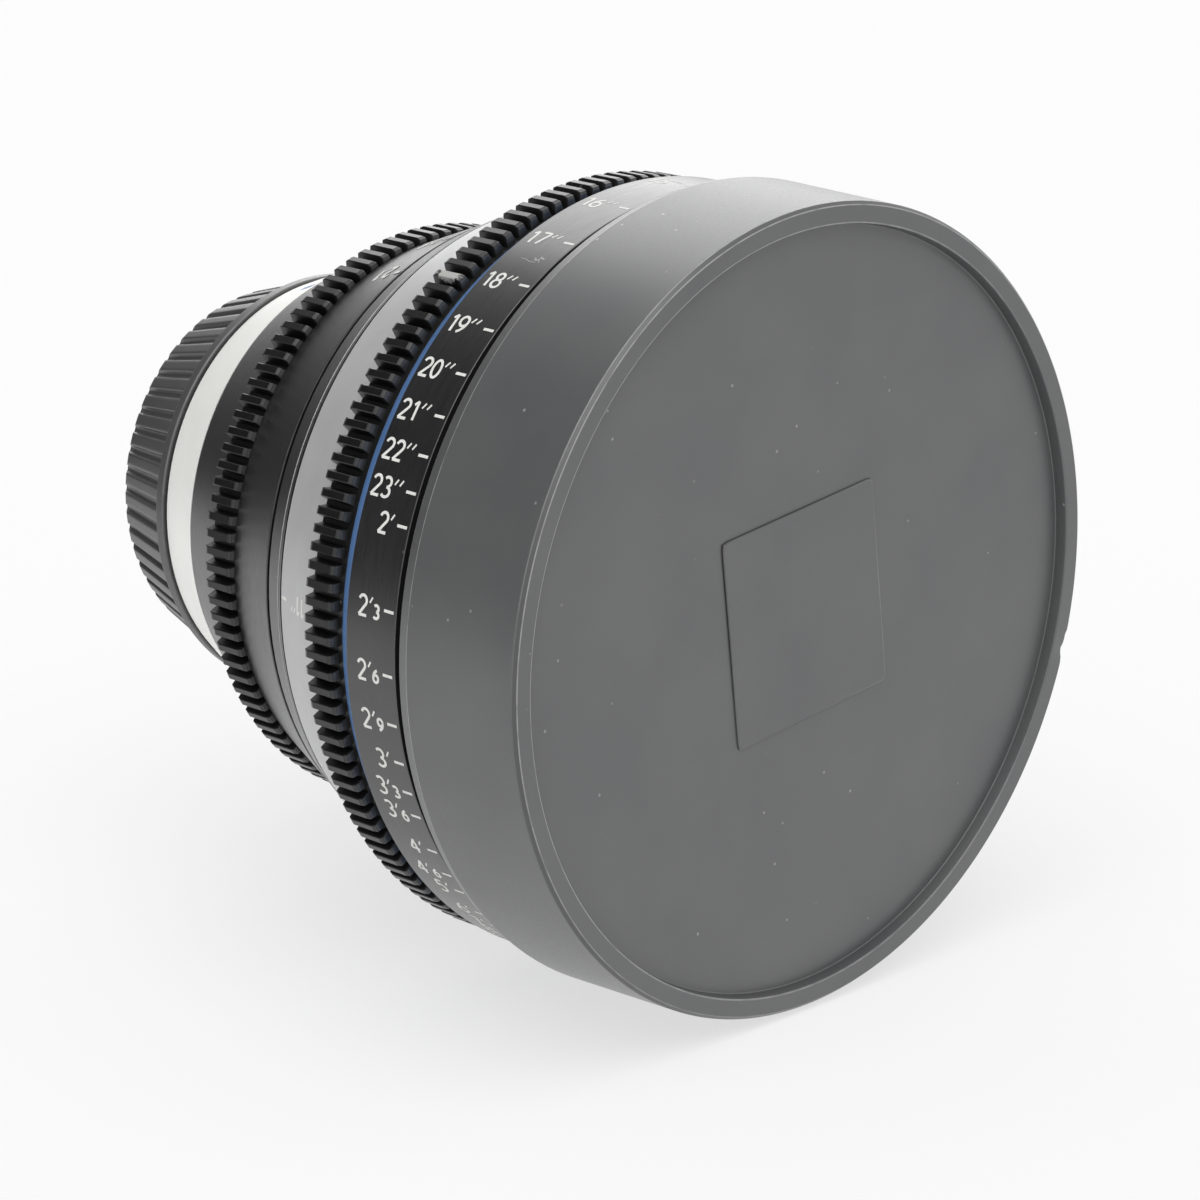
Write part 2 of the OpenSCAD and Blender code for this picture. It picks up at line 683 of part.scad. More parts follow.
// fixed plate with a pivot hole for each blade
module iris_housing() {
  color([0.1, 0.1, 0.1]) difference() {
    spin([
      [stop_r, plate_y0], [tube_c_in, plate_y0], [tube_c_in, spigot_y - rear_flange_t],
      [tube_c_in - 2.4, spigot_y - rear_flange_t], [tube_c_in - 2.4, plate_y0 + plate_t],
      [stop_r, plate_y0 + plate_t]
    ]);
    for (b = [0:blade_n - 1])
      on_axis() rotate([0, 0, 360 / blade_n * b]) translate([pivot_r, 0, plate_y0 - 1])
        cylinder(r = pivot_pin_r + pin_clr, h = plate_t + 2);
  }
}

// one iris blade with its pivot pin behind and its drive pin in front
module blade(b) {
  level = blade_y0 + blade_pitch * b;
  color([0.15, 0.15, 0.16]) on_axis() rotate([0, 0, 360 / blade_n * b]) translate([pivot_r, 0, 0])
    rotate([0, 0, blade_rest]) translate([-pivot_r, 0, 0]) union() {
      translate([0, 0, level]) linear_extrude(height = blade_t) union() {
        intersection() {
          difference() {
            circle(r = blade_out);
            circle(r = blade_in);
          }
          pie(-150, 4, blade_out);
        }
        translate([blade_in + 1, -1.2]) square([pivot_r - blade_in - 1, 2.4]);
        translate([pivot_r, 0]) circle(r = 1.3);
        translate(drive_at(0)) circle(r = 0.7);
        translate([pivot_r, 0]) rotate(tail_a) translate([0, -0.6]) square([tail_len, 1.2]);
      }
      translate([pivot_r, 0, level]) cylinder(r = pivot_pin_r, h = plate_y0 + plate_t - 0.3 - level);
      translate([drive_at(0)[0], drive_at(0)[1], cam_y0 + 0.2])
        cylinder(r = drive_pin_r, h = level + blade_t - cam_y0 - 0.2);
    }
}

// cell of the fixed rear lens group
module rear_cell() {
  color([0.08, 0.08, 0.08]) spin([
    [rear_glass_r, spigot_y - rear_flange_t], [tube_c_in, spigot_y - rear_flange_t],
    [tube_c_in, spigot_y], [rear_cell_r, spigot_y], [rear_cell_r, 2], [rear_glass_r, 2]
  ]);
}

// ring that holds the last element
module rear_cell_ring() {
  color([0.06, 0.06, 0.06]) spin([
    [rear_glass_r - 2.5, 0], [rear_glass_r, 0], [rear_glass_r, 1.6], [rear_glass_r - 2.5, 1.6]
  ]);
}

module element_6() {
  color([0.55, 0.7, 0.75, 0.5]) glass(spigot_y + 2.5, spigot_y + 4.5, rear_glass_r, -50, -60);
}

module element_7() {
  color([0.55, 0.7, 0.75, 0.5]) glass(spigot_y + 6.5, spigot_y + 15, rear_glass_r, 60, 45);
}

module element_8() {
  color([0.55, 0.7, 0.75, 0.5]) glass(spigot_y + 17, spigot_y + 22.5, rear_glass_r, 60, 90);
}

front_cap();
rear_cap();
front_barrel();
front_baffle();
main_barrel();
index_ring();
index_screws();
mount_barrel();
mount_shim();
mount_ring();
mount_screws();
bayonet();
focus_sleeve();
focus_scale_ring();
focus_line();
focus_gear();
focus_rear_scale();
carriage();
guide_keys();
follower_pin();
front_cell();
front_cell_ring();
element_1();
element_2();
element_3();
element_4();
element_5();
iris_scale_ring();
iris_gear();
iris_pin();
iris_cam();
iris_housing();
blade(0);  // blade_01
blade(1);  // blade_02
blade(2);  // blade_03
blade(3);  // blade_04
blade(4);  // blade_05
blade(5);  // blade_06
blade(6);  // blade_07
blade(7);  // blade_08
blade(8);  // blade_09
blade(9);  // blade_10
blade(10);  // blade_11
blade(11);  // blade_12
blade(12);  // blade_13
blade(13);  // blade_14
rear_cell();
rear_cell_ring();
element_6();
element_7();
element_8();
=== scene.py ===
"""Looks for a cinema prime lens with both caps on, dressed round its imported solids.

The optical axis lies along Y, the front looks towards -Y and Z is up. The classes hold their
sizes in millimetres, and every mesh is written in metres in the frame of the solids.
"""
import functools
import logging
import math
from dataclasses import dataclass
from enum import Enum

import bmesh
import bpy
import numpy as np
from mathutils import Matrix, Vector


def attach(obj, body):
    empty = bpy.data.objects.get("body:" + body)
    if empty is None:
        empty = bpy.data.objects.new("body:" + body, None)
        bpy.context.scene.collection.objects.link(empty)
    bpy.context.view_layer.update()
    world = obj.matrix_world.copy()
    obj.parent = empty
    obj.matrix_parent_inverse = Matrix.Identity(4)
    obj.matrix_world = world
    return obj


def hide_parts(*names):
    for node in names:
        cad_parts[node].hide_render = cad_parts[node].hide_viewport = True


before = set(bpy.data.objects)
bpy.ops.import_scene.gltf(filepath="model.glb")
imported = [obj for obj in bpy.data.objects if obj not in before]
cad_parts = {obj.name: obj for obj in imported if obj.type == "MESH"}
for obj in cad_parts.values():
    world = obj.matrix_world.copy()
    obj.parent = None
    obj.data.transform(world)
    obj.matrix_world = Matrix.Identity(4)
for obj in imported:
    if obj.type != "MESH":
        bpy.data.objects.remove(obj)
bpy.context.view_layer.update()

logging.basicConfig(level=logging.INFO, format="%(message)s")
log = logging.getLogger("lens")

Array = np.ndarray
Colour = tuple[float, float, float]
MM = 0.001
TURN = 2 * math.pi
FLANGE_R = 32.0
TAPER = math.tan(math.radians(21))

# Mesh steps, the largest share of an edge that a rounding takes, and the place of its guard points
ROUND_STEPS = 4
RING_STEPS = 384
SECTOR_STEPS = 25
ARC_POINTS = 15
LINE_POINTS = 8
CUT_LIMIT = 0.4
GUARD = 1.2
WELD = 1e-7

# Range in which nearly all of a noise lies, and the sockets of a Mix node that carry colour
NOISE_LOW = 0.3
NOISE_HIGH = 0.7
MIX_FIRST = 6
MIX_SECOND = 7
MIX_RESULT = 2


class Body(Enum):
    """The bodies that new pieces ride on."""

    BARREL = "barrel"
    FOCUS = "focus_ring"
    FRONT_GROUP = "front_group"
    IRIS = "iris_ring"
    FRONT_CAP = "front_cap"
    REAR_CAP = "rear_cap"


class Reading(Enum):
    """Which way a row of figures reads along the axis."""

    TO_FRONT = -1
    TO_REAR = 1


# Shape helpers


def unit(vectors: Array) -> Array:
    """Vectors divided by their lengths."""
    return vectors / np.maximum(np.linalg.norm(vectors, axis=-1, keepdims=True), 1e-12)


def rounded(corners: Array, cuts: Array, closed: bool = True) -> tuple[Array, Array]:
    """Round the corners of an outline.

    A corner C becomes the curve (1-t)^2 A + 2t(1-t) C + t^2 B, where A and B lie one cut away
    from C on its two edges. One more point beyond A and beyond B keeps straight runs flat.

    Args:
        corners: points of radius and station, shape (n, 2).
        cuts: length cut from each corner.
        closed: whether the last corner joins the first. An open outline keeps its two ends.

    Returns:
        The rounded outline, and a wear value that peaks at 1 on outward corners.
    """
    before = np.roll(corners, 1, 0) - corners
    after = np.roll(corners, -1, 0) - corners
    span = np.minimum(np.linalg.norm(before, axis=1), np.linalg.norm(after, axis=1))
    leg = np.minimum(cuts, CUT_LIMIT * span)[:, None]
    start = corners + unit(before) * leg
    end = corners + unit(after) * leg
    t = np.linspace(0, 1, ROUND_STEPS + 1)[None, :, None]
    curve = (1 - t) ** 2 * start[:, None] + 2 * t * (1 - t) * corners[:, None] + t**2 * end[:, None]
    guard_in = corners + unit(before) * leg * GUARD
    guard_out = corners + unit(after) * leg * GUARD
    points = np.concatenate([guard_in[:, None], curve, guard_out[:, None]], axis=1)
    cross = before[:, 1] * after[:, 0] - before[:, 0] * after[:, 1]
    ahead = np.roll(corners, -1, 0)
    area = np.sum(corners[:, 0] * ahead[:, 1] - ahead[:, 0] * corners[:, 1])
    outward = (cross * area > 0).astype(float)
    bump = np.pad((4 * t * (1 - t))[0, :, 0], 1)
    wear = outward[:, None] * bump[None]
    if closed:
        return points.reshape(-1, 2), wear.ravel()
    inner = points[1:-1].reshape(-1, 2)
    outline = np.concatenate([corners[:1], inner, corners[-1:]])
    return outline, np.pad(wear[1:-1].ravel(), 1)


def polar(radius: Array, station: Array, angles: Array) -> Array:
    """Points (r cos a, y, r sin a) on a grid, with rows of radius and station and columns of angle."""
    radius, station, angles = np.broadcast_arrays(radius, station, angles)
    return np.stack([radius * np.cos(angles), station, radius * np.sin(angles)], axis=-1)


def circle(steps: int = RING_STEPS) -> Array:
    """Evenly spaced angles round the axis."""
    return np.arange(steps) * TURN / steps


def cone(y: float) -> float:
    """Radius of the body's taper at a station: it grows forward from the flange."""
    return FLANGE_R - y * TAPER


class Shell:
    """Gathers grid surfaces and writes them as one mesh piece."""

    def __init__(self) -> None:
        """Start with no surface."""
        self.points: list[Array] = []
        self.wear: list[Array] = []
        self.faces: list[list[int]] = []
        self.count = 0

    def add(self, grid: Array, wear: Array | None = None, loop: bool = False, caps: bool = False) -> None:
        """Add a grid whose columns close on themselves.

        Args:
            grid: points in millimetres, shape (rows, columns, 3). A row at one point is a pole.
            wear: edge wear and painted light per point, or None for none.
            loop: whether the last row joins the first.
            caps: whether the first and last rows are closed by a face each.
        """
        rows, columns = grid.shape[:2]
        index = np.arange(rows * columns).reshape(rows, columns) + self.count
        path = np.vstack([index, index[:1]]) if loop else index
        low, high = path[:-1], path[1:]
        quads = np.stack([low, high, np.roll(high, -1, 1), np.roll(low, -1, 1)], axis=-1)
        self.faces += quads.reshape(-1, 4).tolist()
        if caps:
            self.faces += [index[0].tolist(), index[-1].tolist()]
        self.points.append(grid.reshape(-1, 3))
        values = np.zeros((rows, columns)) if wear is None else np.broadcast_to(wear, (rows, columns))
        self.wear.append(values.ravel())
        self.count += rows * columns

    def ring(self, corners: list[tuple[float, float, float]], closed: bool = True) -> None:
        """Add an outline spun round the axis.

        Args:
            corners: radius, station and cut of each corner.
            closed: whether the outline closes on itself, or starts and ends on the axis.
        """
        table = np.array(corners, float)
        outline, wear = rounded(table[:, :2], table[:, 2], closed)
        self.add(polar(outline[:, :1], outline[:, 1:], circle()), wear[:, None], loop=closed)

    def sector(self, corners: list[tuple[float, float, float]], middle: float, half: float) -> None:
        """Add an outline carried along an arc, with both ends closed.

        Args:
            corners: radius, station and cut of each corner.
            middle: angle of the arc's middle in degrees.
            half: half of the arc's angle in degrees.
        """
        table = np.array(corners, float)
        outline, wear = rounded(table[:, :2], table[:, 2])
        angles = np.radians(np.linspace(middle - half, middle + half, SECTOR_STEPS))
        self.add(polar(outline[None, :, 0], outline[None, :, 1], angles[:, None]), wear[None], caps=True)

    def piece(self, name: str, sharp: float = 32.0) -> bpy.types.Object:
        """Write the gathered surfaces as one object at the origin.

        Args:
            name: the piece's name.
            sharp: angle in degrees above which an edge is shaded as a crease.

        Returns:
            The new object, with its poles welded and its faces outward.
        """
        mesh = bpy.data.meshes.new(name)
        mesh.from_pydata((np.concatenate(self.points) * MM).tolist(), [], self.faces)
        # The attribute carries edge wear and painted light: painted highlights above 0 and painted shade
        # below 0
        layer = mesh.attributes.new("wear", "FLOAT", "POINT")
        layer.data.foreach_set("value", np.concatenate(self.wear).astype(np.float32))
        work = bmesh.new()
        work.from_mesh(mesh)
        bmesh.ops.remove_doubles(work, verts=work.verts, dist=WELD)
        bmesh.ops.recalc_face_normals(work, faces=work.faces)
        work.to_mesh(mesh)
        work.free()
        mesh.shade_smooth()
        mesh.set_sharp_from_angle(angle=math.radians(sharp))
        made = bpy.data.objects.new(name, mesh)
        bpy.context.scene.collection.objects.link(made)
        return made


# Finishes


class Nodes:
    """A material's node tree, with short calls for the nodes that the finishes share."""

    def __init__(self, name: str) -> None:
        """Start a material with a plain shader and the object's own coordinates.

        Args:
            name: the material's name.
        """
        self.material = bpy.data.materials.new(name)
        self.material.use_nodes = True
        self.tree = self.material.node_tree
        self.shader = self.tree.nodes["Principled BSDF"]
        self.place = self.tree.nodes.new("ShaderNodeTexCoord").outputs["Object"]

    def set(self, **values: object) -> None:
        """Set the shader's own sockets, named with underscores for spaces."""
        for name, value in values.items():
            self.shader.inputs[name.replace("_", " ")].default_value = value

    def feed(self, socket: bpy.types.NodeSocket, value: object) -> None:
        """Link a socket to another, or set its value.

        Args:
            socket: the input to feed.
            value: an output socket, or a plain value.
        """
        if isinstance(value, bpy.types.NodeSocket):
            self.tree.links.new(value, socket)
        else:
            socket.default_value = value

    def math(self, operation: str, first: object, second: object = 0.0) -> bpy.types.NodeSocket:
        """Add a math node.

        Args:
            operation: what the node works out.
            first: a socket or a number.
            second: a socket or a number.

        Returns:
            The result.
        """
        node = self.tree.nodes.new("ShaderNodeMath")
        node.operation = operation
        self.feed(node.inputs[0], first)
        self.feed(node.inputs[1], second)
        return node.outputs[0]

    def noise(self, size: float, detail: float = 3.0, vector: object = None) -> bpy.types.NodeSocket:
        """Add a noise.

        Args:
            size: width of its features in millimetres.
            detail: how many finer layers it has.
            vector: its coordinates, or None for the object's own.

        Returns:
            The noise, about 0.5 on average.
        """
        node = self.tree.nodes.new("ShaderNodeTexNoise")
        self.feed(node.inputs["Vector"], self.place if vector is None else vector)
        node.inputs["Scale"].default_value = 1 / (size * MM)
        node.inputs["Detail"].default_value = detail
        return node.outputs["Fac"]

    def specks(self, spacing: float, radius: float) -> bpy.types.NodeSocket:
        """Scatter small soft spots over the surface.

        Args:
            spacing: distance between spots in millimetres.
            radius: radius of a spot in millimetres.

        Returns:
            A value of 1 at the core of a spot and 0 outside it.
        """
        node = self.tree.nodes.new("ShaderNodeTexVoronoi")
        self.feed(node.inputs["Vector"], self.place)
        node.inputs["Scale"].default_value = 1 / (spacing * MM)
        core = 0.4 * radius
        return self.span(node.outputs["Distance"], radius / spacing, core / spacing)

    def span(self, value: object, low: float, high: float, to_low: float = 0.0,
             to_high: float = 1.0) -> bpy.types.NodeSocket:
        """Carry a value from one range to another and hold it at the ends.

        Args:
            value: a socket or a number.
            low: start of the first range.
            high: end of the first range.
            to_low: what low becomes.
            to_high: what high becomes.

        Returns:
            The carried value.
        """
        node = self.tree.nodes.new("ShaderNodeMapRange")
        for name, item in zip(("Value", "From Min", "From Max", "To Min", "To Max"),
                              (value, low, high, to_low, to_high)):
            self.feed(node.inputs[name], item)
        return node.outputs["Result"]

    def blend(self, share: object, first: object, second: object) -> bpy.types.NodeSocket:
        """Mix two colours.

        Args:
            share: a socket or a number, 0 for the first colour and 1 for the second.
            first: a colour or a socket.
            second: a colour or a socket.

        Returns:
            The mixed colour.
        """
        node = self.tree.nodes.new("ShaderNodeMix")
        node.data_type = "RGBA"
        self.feed(node.inputs["Factor"], share)
        for socket, value in ((MIX_FIRST, first), (MIX_SECOND, second)):
            self.feed(node.inputs[socket], (*value, 1.0) if isinstance(value, tuple) else value)
        return node.outputs[MIX_RESULT]

    def wear(self) -> bpy.types.NodeSocket:
        """Read the piece's edge wear and painted light.

        Returns:
            A value of 1 along worn outward edges, raised on edges that carry a painted highlight, and below
            0 where the piece carries painted shade.
        """
        node = self.tree.nodes.new("ShaderNodeAttribute")
        node.attribute_name = "wear"
        return node.outputs["Fac"]

    def turned(self, stretch: float = 2.0) -> bpy.types.NodeSocket:
        """Work out lathe coordinates: radius, station, and angle times stretch.

        Args:
            stretch: length in millimetres that stands for one radian.

        Returns:
            The coordinates.
        """
        split = self.tree.nodes.new("ShaderNodeSeparateXYZ")
        self.feed(split.inputs[0], self.place)
        flat = self.tree.nodes.new("ShaderNodeVectorMath")
        flat.operation = "MULTIPLY"
        self.feed(flat.inputs[0], self.place)
        flat.inputs[1].default_value = (1.0, 0.0, 1.0)
        length = self.tree.nodes.new("ShaderNodeVectorMath")
        length.operation = "LENGTH"
        self.feed(length.inputs[0], flat.outputs[0])
        angle = self.math("ARCTAN2", split.outputs["X"], split.outputs["Z"])
        join = self.tree.nodes.new("ShaderNodeCombineXYZ")
        self.feed(join.inputs[0], length.outputs["Value"])
        self.feed(join.inputs[1], split.outputs["Y"])
        self.feed(join.inputs[2], self.math("MULTIPLY", angle, stretch * MM))
        return join.outputs[0]

    def near(self, point: tuple[float, float, float], reach: float) -> bpy.types.NodeSocket:
        """Add one spot, twice as long along the axis as across it.

        Args:
            point: its middle in millimetres.
            reach: half of its width in millimetres.

        Returns:
            A value of 1 at the middle that falls to 0 at the border.
        """
        squeeze = (1.0, 0.5, 1.0)
        squeezed = self.tree.nodes.new("ShaderNodeVectorMath")
        squeezed.operation = "MULTIPLY"
        self.feed(squeezed.inputs[0], self.place)
        squeezed.inputs[1].default_value = squeeze
        node = self.tree.nodes.new("ShaderNodeVectorMath")
        node.operation = "DISTANCE"
        self.feed(node.inputs[0], squeezed.outputs[0])
        node.inputs[1].default_value = tuple(MM * x * share for x, share in zip(point, squeeze))
        return self.span(node.outputs["Value"], reach * MM, 0.0)

    def bump(self, height: bpy.types.NodeSocket, depth: float, strength: float) -> None:
        """Roughen the surface.

        Args:
            height: the relief.
            depth: its depth in millimetres.
            strength: share of the relief that shows.
        """
        node = self.tree.nodes.new("ShaderNodeBump")
        node.inputs["Distance"].default_value = depth * MM
        node.inputs["Strength"].default_value = strength
        self.feed(node.inputs["Height"], height)
        self.feed(self.shader.inputs["Normal"], node.outputs["Normal"])

    def colour(self, value: object) -> None:
        """Feed the shader's base colour."""
        self.feed(self.shader.inputs["Base Color"], value)

    def roughness(self, value: object) -> None:
        """Feed the shader's roughness."""
        self.feed(self.shader.inputs["Roughness"], value)


@dataclass(frozen=True)
class Finish:
    """A surface finish, with the record's slot that it belongs to.

    The colour drifts towards shade over random patches, towards edge along worn edges and painted edge
    highlights, and towards grime, a painted shade colour, where the wear-and-light value is below 0.
    """

    name: str
    slot: str | None
    colour: Colour
    shade: Colour
    edge: Colour
    roughness: float
    metallic: float = 0.0
    specular: float = 0.5
    patch: float = 9.0
    grain: float = 0.3
    depth: float = 0.01
    relief: float = 0.5
    rub_patch: float = 2.5
    roughness_spread: float = 0.05
    # Colour of painted shade, laid where the wear-and-light value is below 0
    grime: Colour = (0.02, 0.02, 0.02)
    dust: float = 0.0
    dust_colour: Colour = (0.55, 0.55, 0.54)
    dust_spacing: float = 5.5
    dust_radius: float = 0.30

    def grain_height(self, nodes: Nodes) -> bpy.types.NodeSocket:
        """Height of the fine grain, even in all directions."""
        return nodes.noise(self.grain, 2.0)

    def extras(self, nodes: Nodes, colour: bpy.types.NodeSocket) -> bpy.types.NodeSocket:
        """Colour with marks of its own; a plain finish has none."""
        return colour

    def build(self) -> bpy.types.Material:
        """Make the finish's material.

        Returns:
            A material whose colour, roughness and relief come from its nodes.
        """
        nodes = Nodes(self.name)
        nodes.set(Metallic=self.metallic, Specular_IOR_Level=self.specular)
        height = self.grain_height(nodes)
        drift = nodes.span(nodes.noise(self.patch), 0.35, 0.65)
        tone = nodes.blend(drift, self.colour, self.shade)
        rubbed = nodes.span(nodes.noise(self.rub_patch), NOISE_LOW, 0.6, 0.35, 1.0)
        # Edge wear and painted edge highlights blend towards the edge colour
        worn_and_lit = nodes.math("MULTIPLY", nodes.wear(), rubbed)
        tone = nodes.blend(worn_and_lit, tone, self.edge)
        # Painted shade: values below 0 blend towards the painted shade colour
        tone = nodes.blend(nodes.span(nodes.wear(), 0.0, -1.0), tone, self.grime)
        if self.dust > 0:
            spots = nodes.math("MULTIPLY", nodes.specks(self.dust_spacing, self.dust_radius), self.dust)
            tone = nodes.blend(spots, tone, self.dust_colour)
        nodes.colour(self.extras(nodes, tone))
        smooth, rough = self.roughness - self.roughness_spread, self.roughness + self.roughness_spread
        nodes.roughness(nodes.span(height, NOISE_LOW, NOISE_HIGH, smooth, rough))
        nodes.bump(height, self.depth, self.relief)
        return nodes.material


@dataclass(frozen=True)
class TurnedFinish(Finish):
    """Metal turned on a lathe, whose fine lines run round the axis."""

    grain: float = 0.14
    depth: float = 0.003

    def grain_height(self, nodes: Nodes) -> bpy.types.NodeSocket:
        """Height of the turning lines, which depends on radius and station."""
        return nodes.noise(self.grain, 2.0, nodes.turned())


@dataclass(frozen=True)
class GearFinish(TurnedFinish):
    """Black gear finish with one pale chip on a tooth."""

    chip: tuple[float, float, float] = (-31.29, -62.2, 47.40)
    chip_reach: float = 1.6
    chip_grain: float = 0.5
    chip_colour: Colour = (0.42, 0.42, 0.40)

    def extras(self, nodes: Nodes, colour: bpy.types.NodeSocket) -> bpy.types.NodeSocket:
        """Add the chip, a spot whose border is made ragged by noise.

        Args:
            nodes: the material's nodes.
            colour: the colour without the chip.

        Returns:
            The colour with the chip.
        """
        ragged = nodes.span(nodes.noise(self.chip_grain), NOISE_LOW, NOISE_HIGH, -0.2, 0.15)
        spot = nodes.math("ADD", nodes.near(self.chip, self.chip_reach), ragged)
        return nodes.blend(nodes.span(spot, 0.25, 0.4), colour, self.chip_colour)


@dataclass(frozen=True)
class GlassFinish(Finish):
    """Coated glass, clear face on and tinted at a slant."""

    index: float = 1.52
    slant: float = 0.35

    def build(self) -> bpy.types.Material:
        """Make a clear material with a coating tint.

        Returns:
            A glass material.
        """
        nodes = Nodes(self.name)
        nodes.set(Transmission_Weight=1.0, IOR=self.index, Specular_IOR_Level=self.specular)
        layer = nodes.tree.nodes.new("ShaderNodeLayerWeight")
        layer.inputs["Blend"].default_value = self.slant
        nodes.colour(nodes.blend(layer.outputs["Facing"], self.colour, self.shade))
        nodes.roughness(nodes.span(nodes.noise(self.patch), NOISE_LOW, NOISE_HIGH, 0.0, self.roughness))
        return nodes.material


# The cap's pale edge colour serves both worn edges and the painted highlights on its upper edges and recess
# edge
CAP_PLASTIC = Finish("cap_plastic", "cap_plastic", (0.086, 0.088, 0.089), (0.073, 0.075, 0.078),
                     (0.30, 0.30, 0.30), 0.40, specular=1.0, patch=20.0, grain=0.28, depth=0.01, dust=0.4)
REAR_PLASTIC = Finish("rear_cap_plastic", "rear_cap_plastic", (0.060, 0.060, 0.061), (0.050, 0.050, 0.052),
                      (0.13, 0.13, 0.13), 0.40, specular=1.0, grain=0.24, depth=0.01, dust=0.15)
BLACK = TurnedFinish("black_anodised", "black_anodised", (0.015, 0.015, 0.016), (0.011, 0.011, 0.012),
                     (0.06, 0.06, 0.06), 0.32, specular=1.0, dust=0.2)
GEAR_BLACK = GearFinish("gear_black", "gear_black", (0.007, 0.007, 0.007), (0.005, 0.005, 0.005),
                        (0.08, 0.08, 0.08), 0.34, specular=0.5, dust=0.15)
GREY = TurnedFinish("grey_anodised", "grey_anodised", (0.51, 0.51, 0.515), (0.475, 0.475, 0.483),
                    (0.62, 0.62, 0.62), 0.42, metallic=0.28, specular=0.4)
BLUE = TurnedFinish("blue_paint", "blue_paint", (0.100, 0.215, 0.46), (0.090, 0.195, 0.42),
                    (0.13, 0.25, 0.50), 0.4, specular=0.4)
SILVER = TurnedFinish("mount_silver", "mount_silver", (0.94, 0.94, 0.905), (0.91, 0.91, 0.88),
                      (0.95, 0.95, 0.93), 0.45, metallic=0.2, specular=0.4)
STEEL = TurnedFinish("steel", "steel", (0.58, 0.58, 0.59), (0.50, 0.50, 0.51), (0.8, 0.8, 0.8), 0.3,
                     metallic=1.0)
BRASS = TurnedFinish("brass", "brass", (0.55, 0.40, 0.17), (0.46, 0.33, 0.14), (0.75, 0.6, 0.3), 0.34,
                     metallic=1.0)
INNER = Finish("inner_black", "inner_black", (0.012, 0.012, 0.012), (0.008, 0.008, 0.008),
               (0.05, 0.05, 0.05), 0.75, specular=0.25, grain=0.2)
BLADE = Finish("blade_black", "blade_black", (0.03, 0.03, 0.032), (0.02, 0.02, 0.022),
               (0.1, 0.1, 0.1), 0.45, specular=0.4, grain=0.15, depth=0.003)
WHITE = Finish("figure_white", None, (0.80, 0.80, 0.77), (0.72, 0.72, 0.69), (0.80, 0.80, 0.77), 0.55,
               specular=0.3, patch=1.5, grain=0.12, depth=0.004)
GLASS = GlassFinish("glass", "glass", (0.97, 0.98, 0.99), (0.62, 0.74, 0.86), (1.0, 1.0, 1.0), 0.02,
                    patch=6.0)


@functools.cache
def material_of(finish: Finish) -> bpy.types.Material:
    """The finish's material, made once."""
    return finish.build()


def dress(piece: bpy.types.Object, finish: Finish, body: Body, *nodes: str) -> None:
    """Give a piece its finish, its body and the solids that it stands for.

    Args:
        piece: the finished object.
        finish: its surface.
        body: the body it moves with.
        nodes: names of the solids that it replaces.
    """
    piece.data.materials.append(material_of(finish))
    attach(piece, body.value)
    if nodes:
        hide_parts(*nodes)
    log.info("%s: %d faces, on %s", piece.name, len(piece.data.polygons), body.value)


# Figures


def arc(middle: tuple[float, float], size: tuple[float, float], start: float, end: float) -> Array:
    """Points on an ellipse from one angle in degrees to another."""
    a = np.radians(np.linspace(start, end, ARC_POINTS))
    return np.stack([middle[0] + size[0] * np.cos(a), middle[1] + size[1] * np.sin(a)], axis=-1)


def straight(*points: tuple[float, float]) -> list[Array]:
    """Draw separate straight strokes from point to point.

    Args:
        points: the ends of the strokes.

    Returns:
        One stroke for each pair of neighbours, with evenly spaced points.
    """
    ends = np.array(points)
    share = np.linspace(0, 1, LINE_POINTS)[:, None]
    return [a + (b - a) * share for a, b in zip(ends[:-1], ends[1:])]


@functools.cache
def glyph(sign: str) -> list[Array]:
    """Draw one sign from arcs and straight lines, in a box one unit high.

    Args:
        sign: a digit, a dot, a stroke, or a dash for infinity.

    Returns:
        The sign's strokes.
    """
    six = [arc((0.30, 0.30), (0.27, 0.30), 0, 360), arc((0.72, 0.30), (0.69, 0.72), 180, 112)]
    shapes = {
        "0": lambda: [arc((0.30, 0.5), (0.27, 0.5), 0, 360)],
        "1": lambda: straight((0.10, 0.80), (0.33, 1.0), (0.33, 0.0)),
        "2": lambda: [arc((0.29, 0.73), (0.26, 0.27), 165, -38),
                      *straight((0.49, 0.56), (0.03, 0.0), (0.58, 0.0))],
        "3": lambda: [arc((0.26, 0.75), (0.26, 0.25), 140, -90), arc((0.26, 0.25), (0.29, 0.25), 90, -145)],
        "4": lambda: straight((0.44, 0.0), (0.44, 1.0), (0.02, 0.30), (0.60, 0.30)),
        "5": lambda: [*straight((0.53, 1.0), (0.13, 1.0), (0.09, 0.53)),
                      arc((0.26, 0.31), (0.29, 0.31), 132, -140)],
        "6": lambda: six,
        "7": lambda: straight((0.04, 1.0), (0.57, 1.0), (0.20, 0.0)),
        "8": lambda: [arc((0.30, 0.76), (0.22, 0.24), 0, 360), arc((0.30, 0.27), (0.27, 0.27), 0, 360)],
        "9": lambda: [np.array((0.60, 1.0)) - stroke for stroke in six],
        ".": lambda: straight((0.05, 0.0), (0.16, 0.0)),
        "'": lambda: straight((0.04, 0.70), (0.22, 1.0)),
        "-": lambda: [arc((0.22, 0.4), (0.22, 0.22), 0, 360), arc((0.66, 0.4), (0.22, 0.22), 0, 360)],
    }
    return shapes[sign]()


# How far a sign moves the row on and how wide its strokes are, as shares of a digit's height and of
# the full width. Signs that aren't listed have the plain digit's advance and the full width.
DIGIT_ADVANCE = 0.74
ADVANCE = {"1": 0.62, ".": 0.30, "'": 0.36, "-": 1.0}
SLIM = {"'": 0.66}


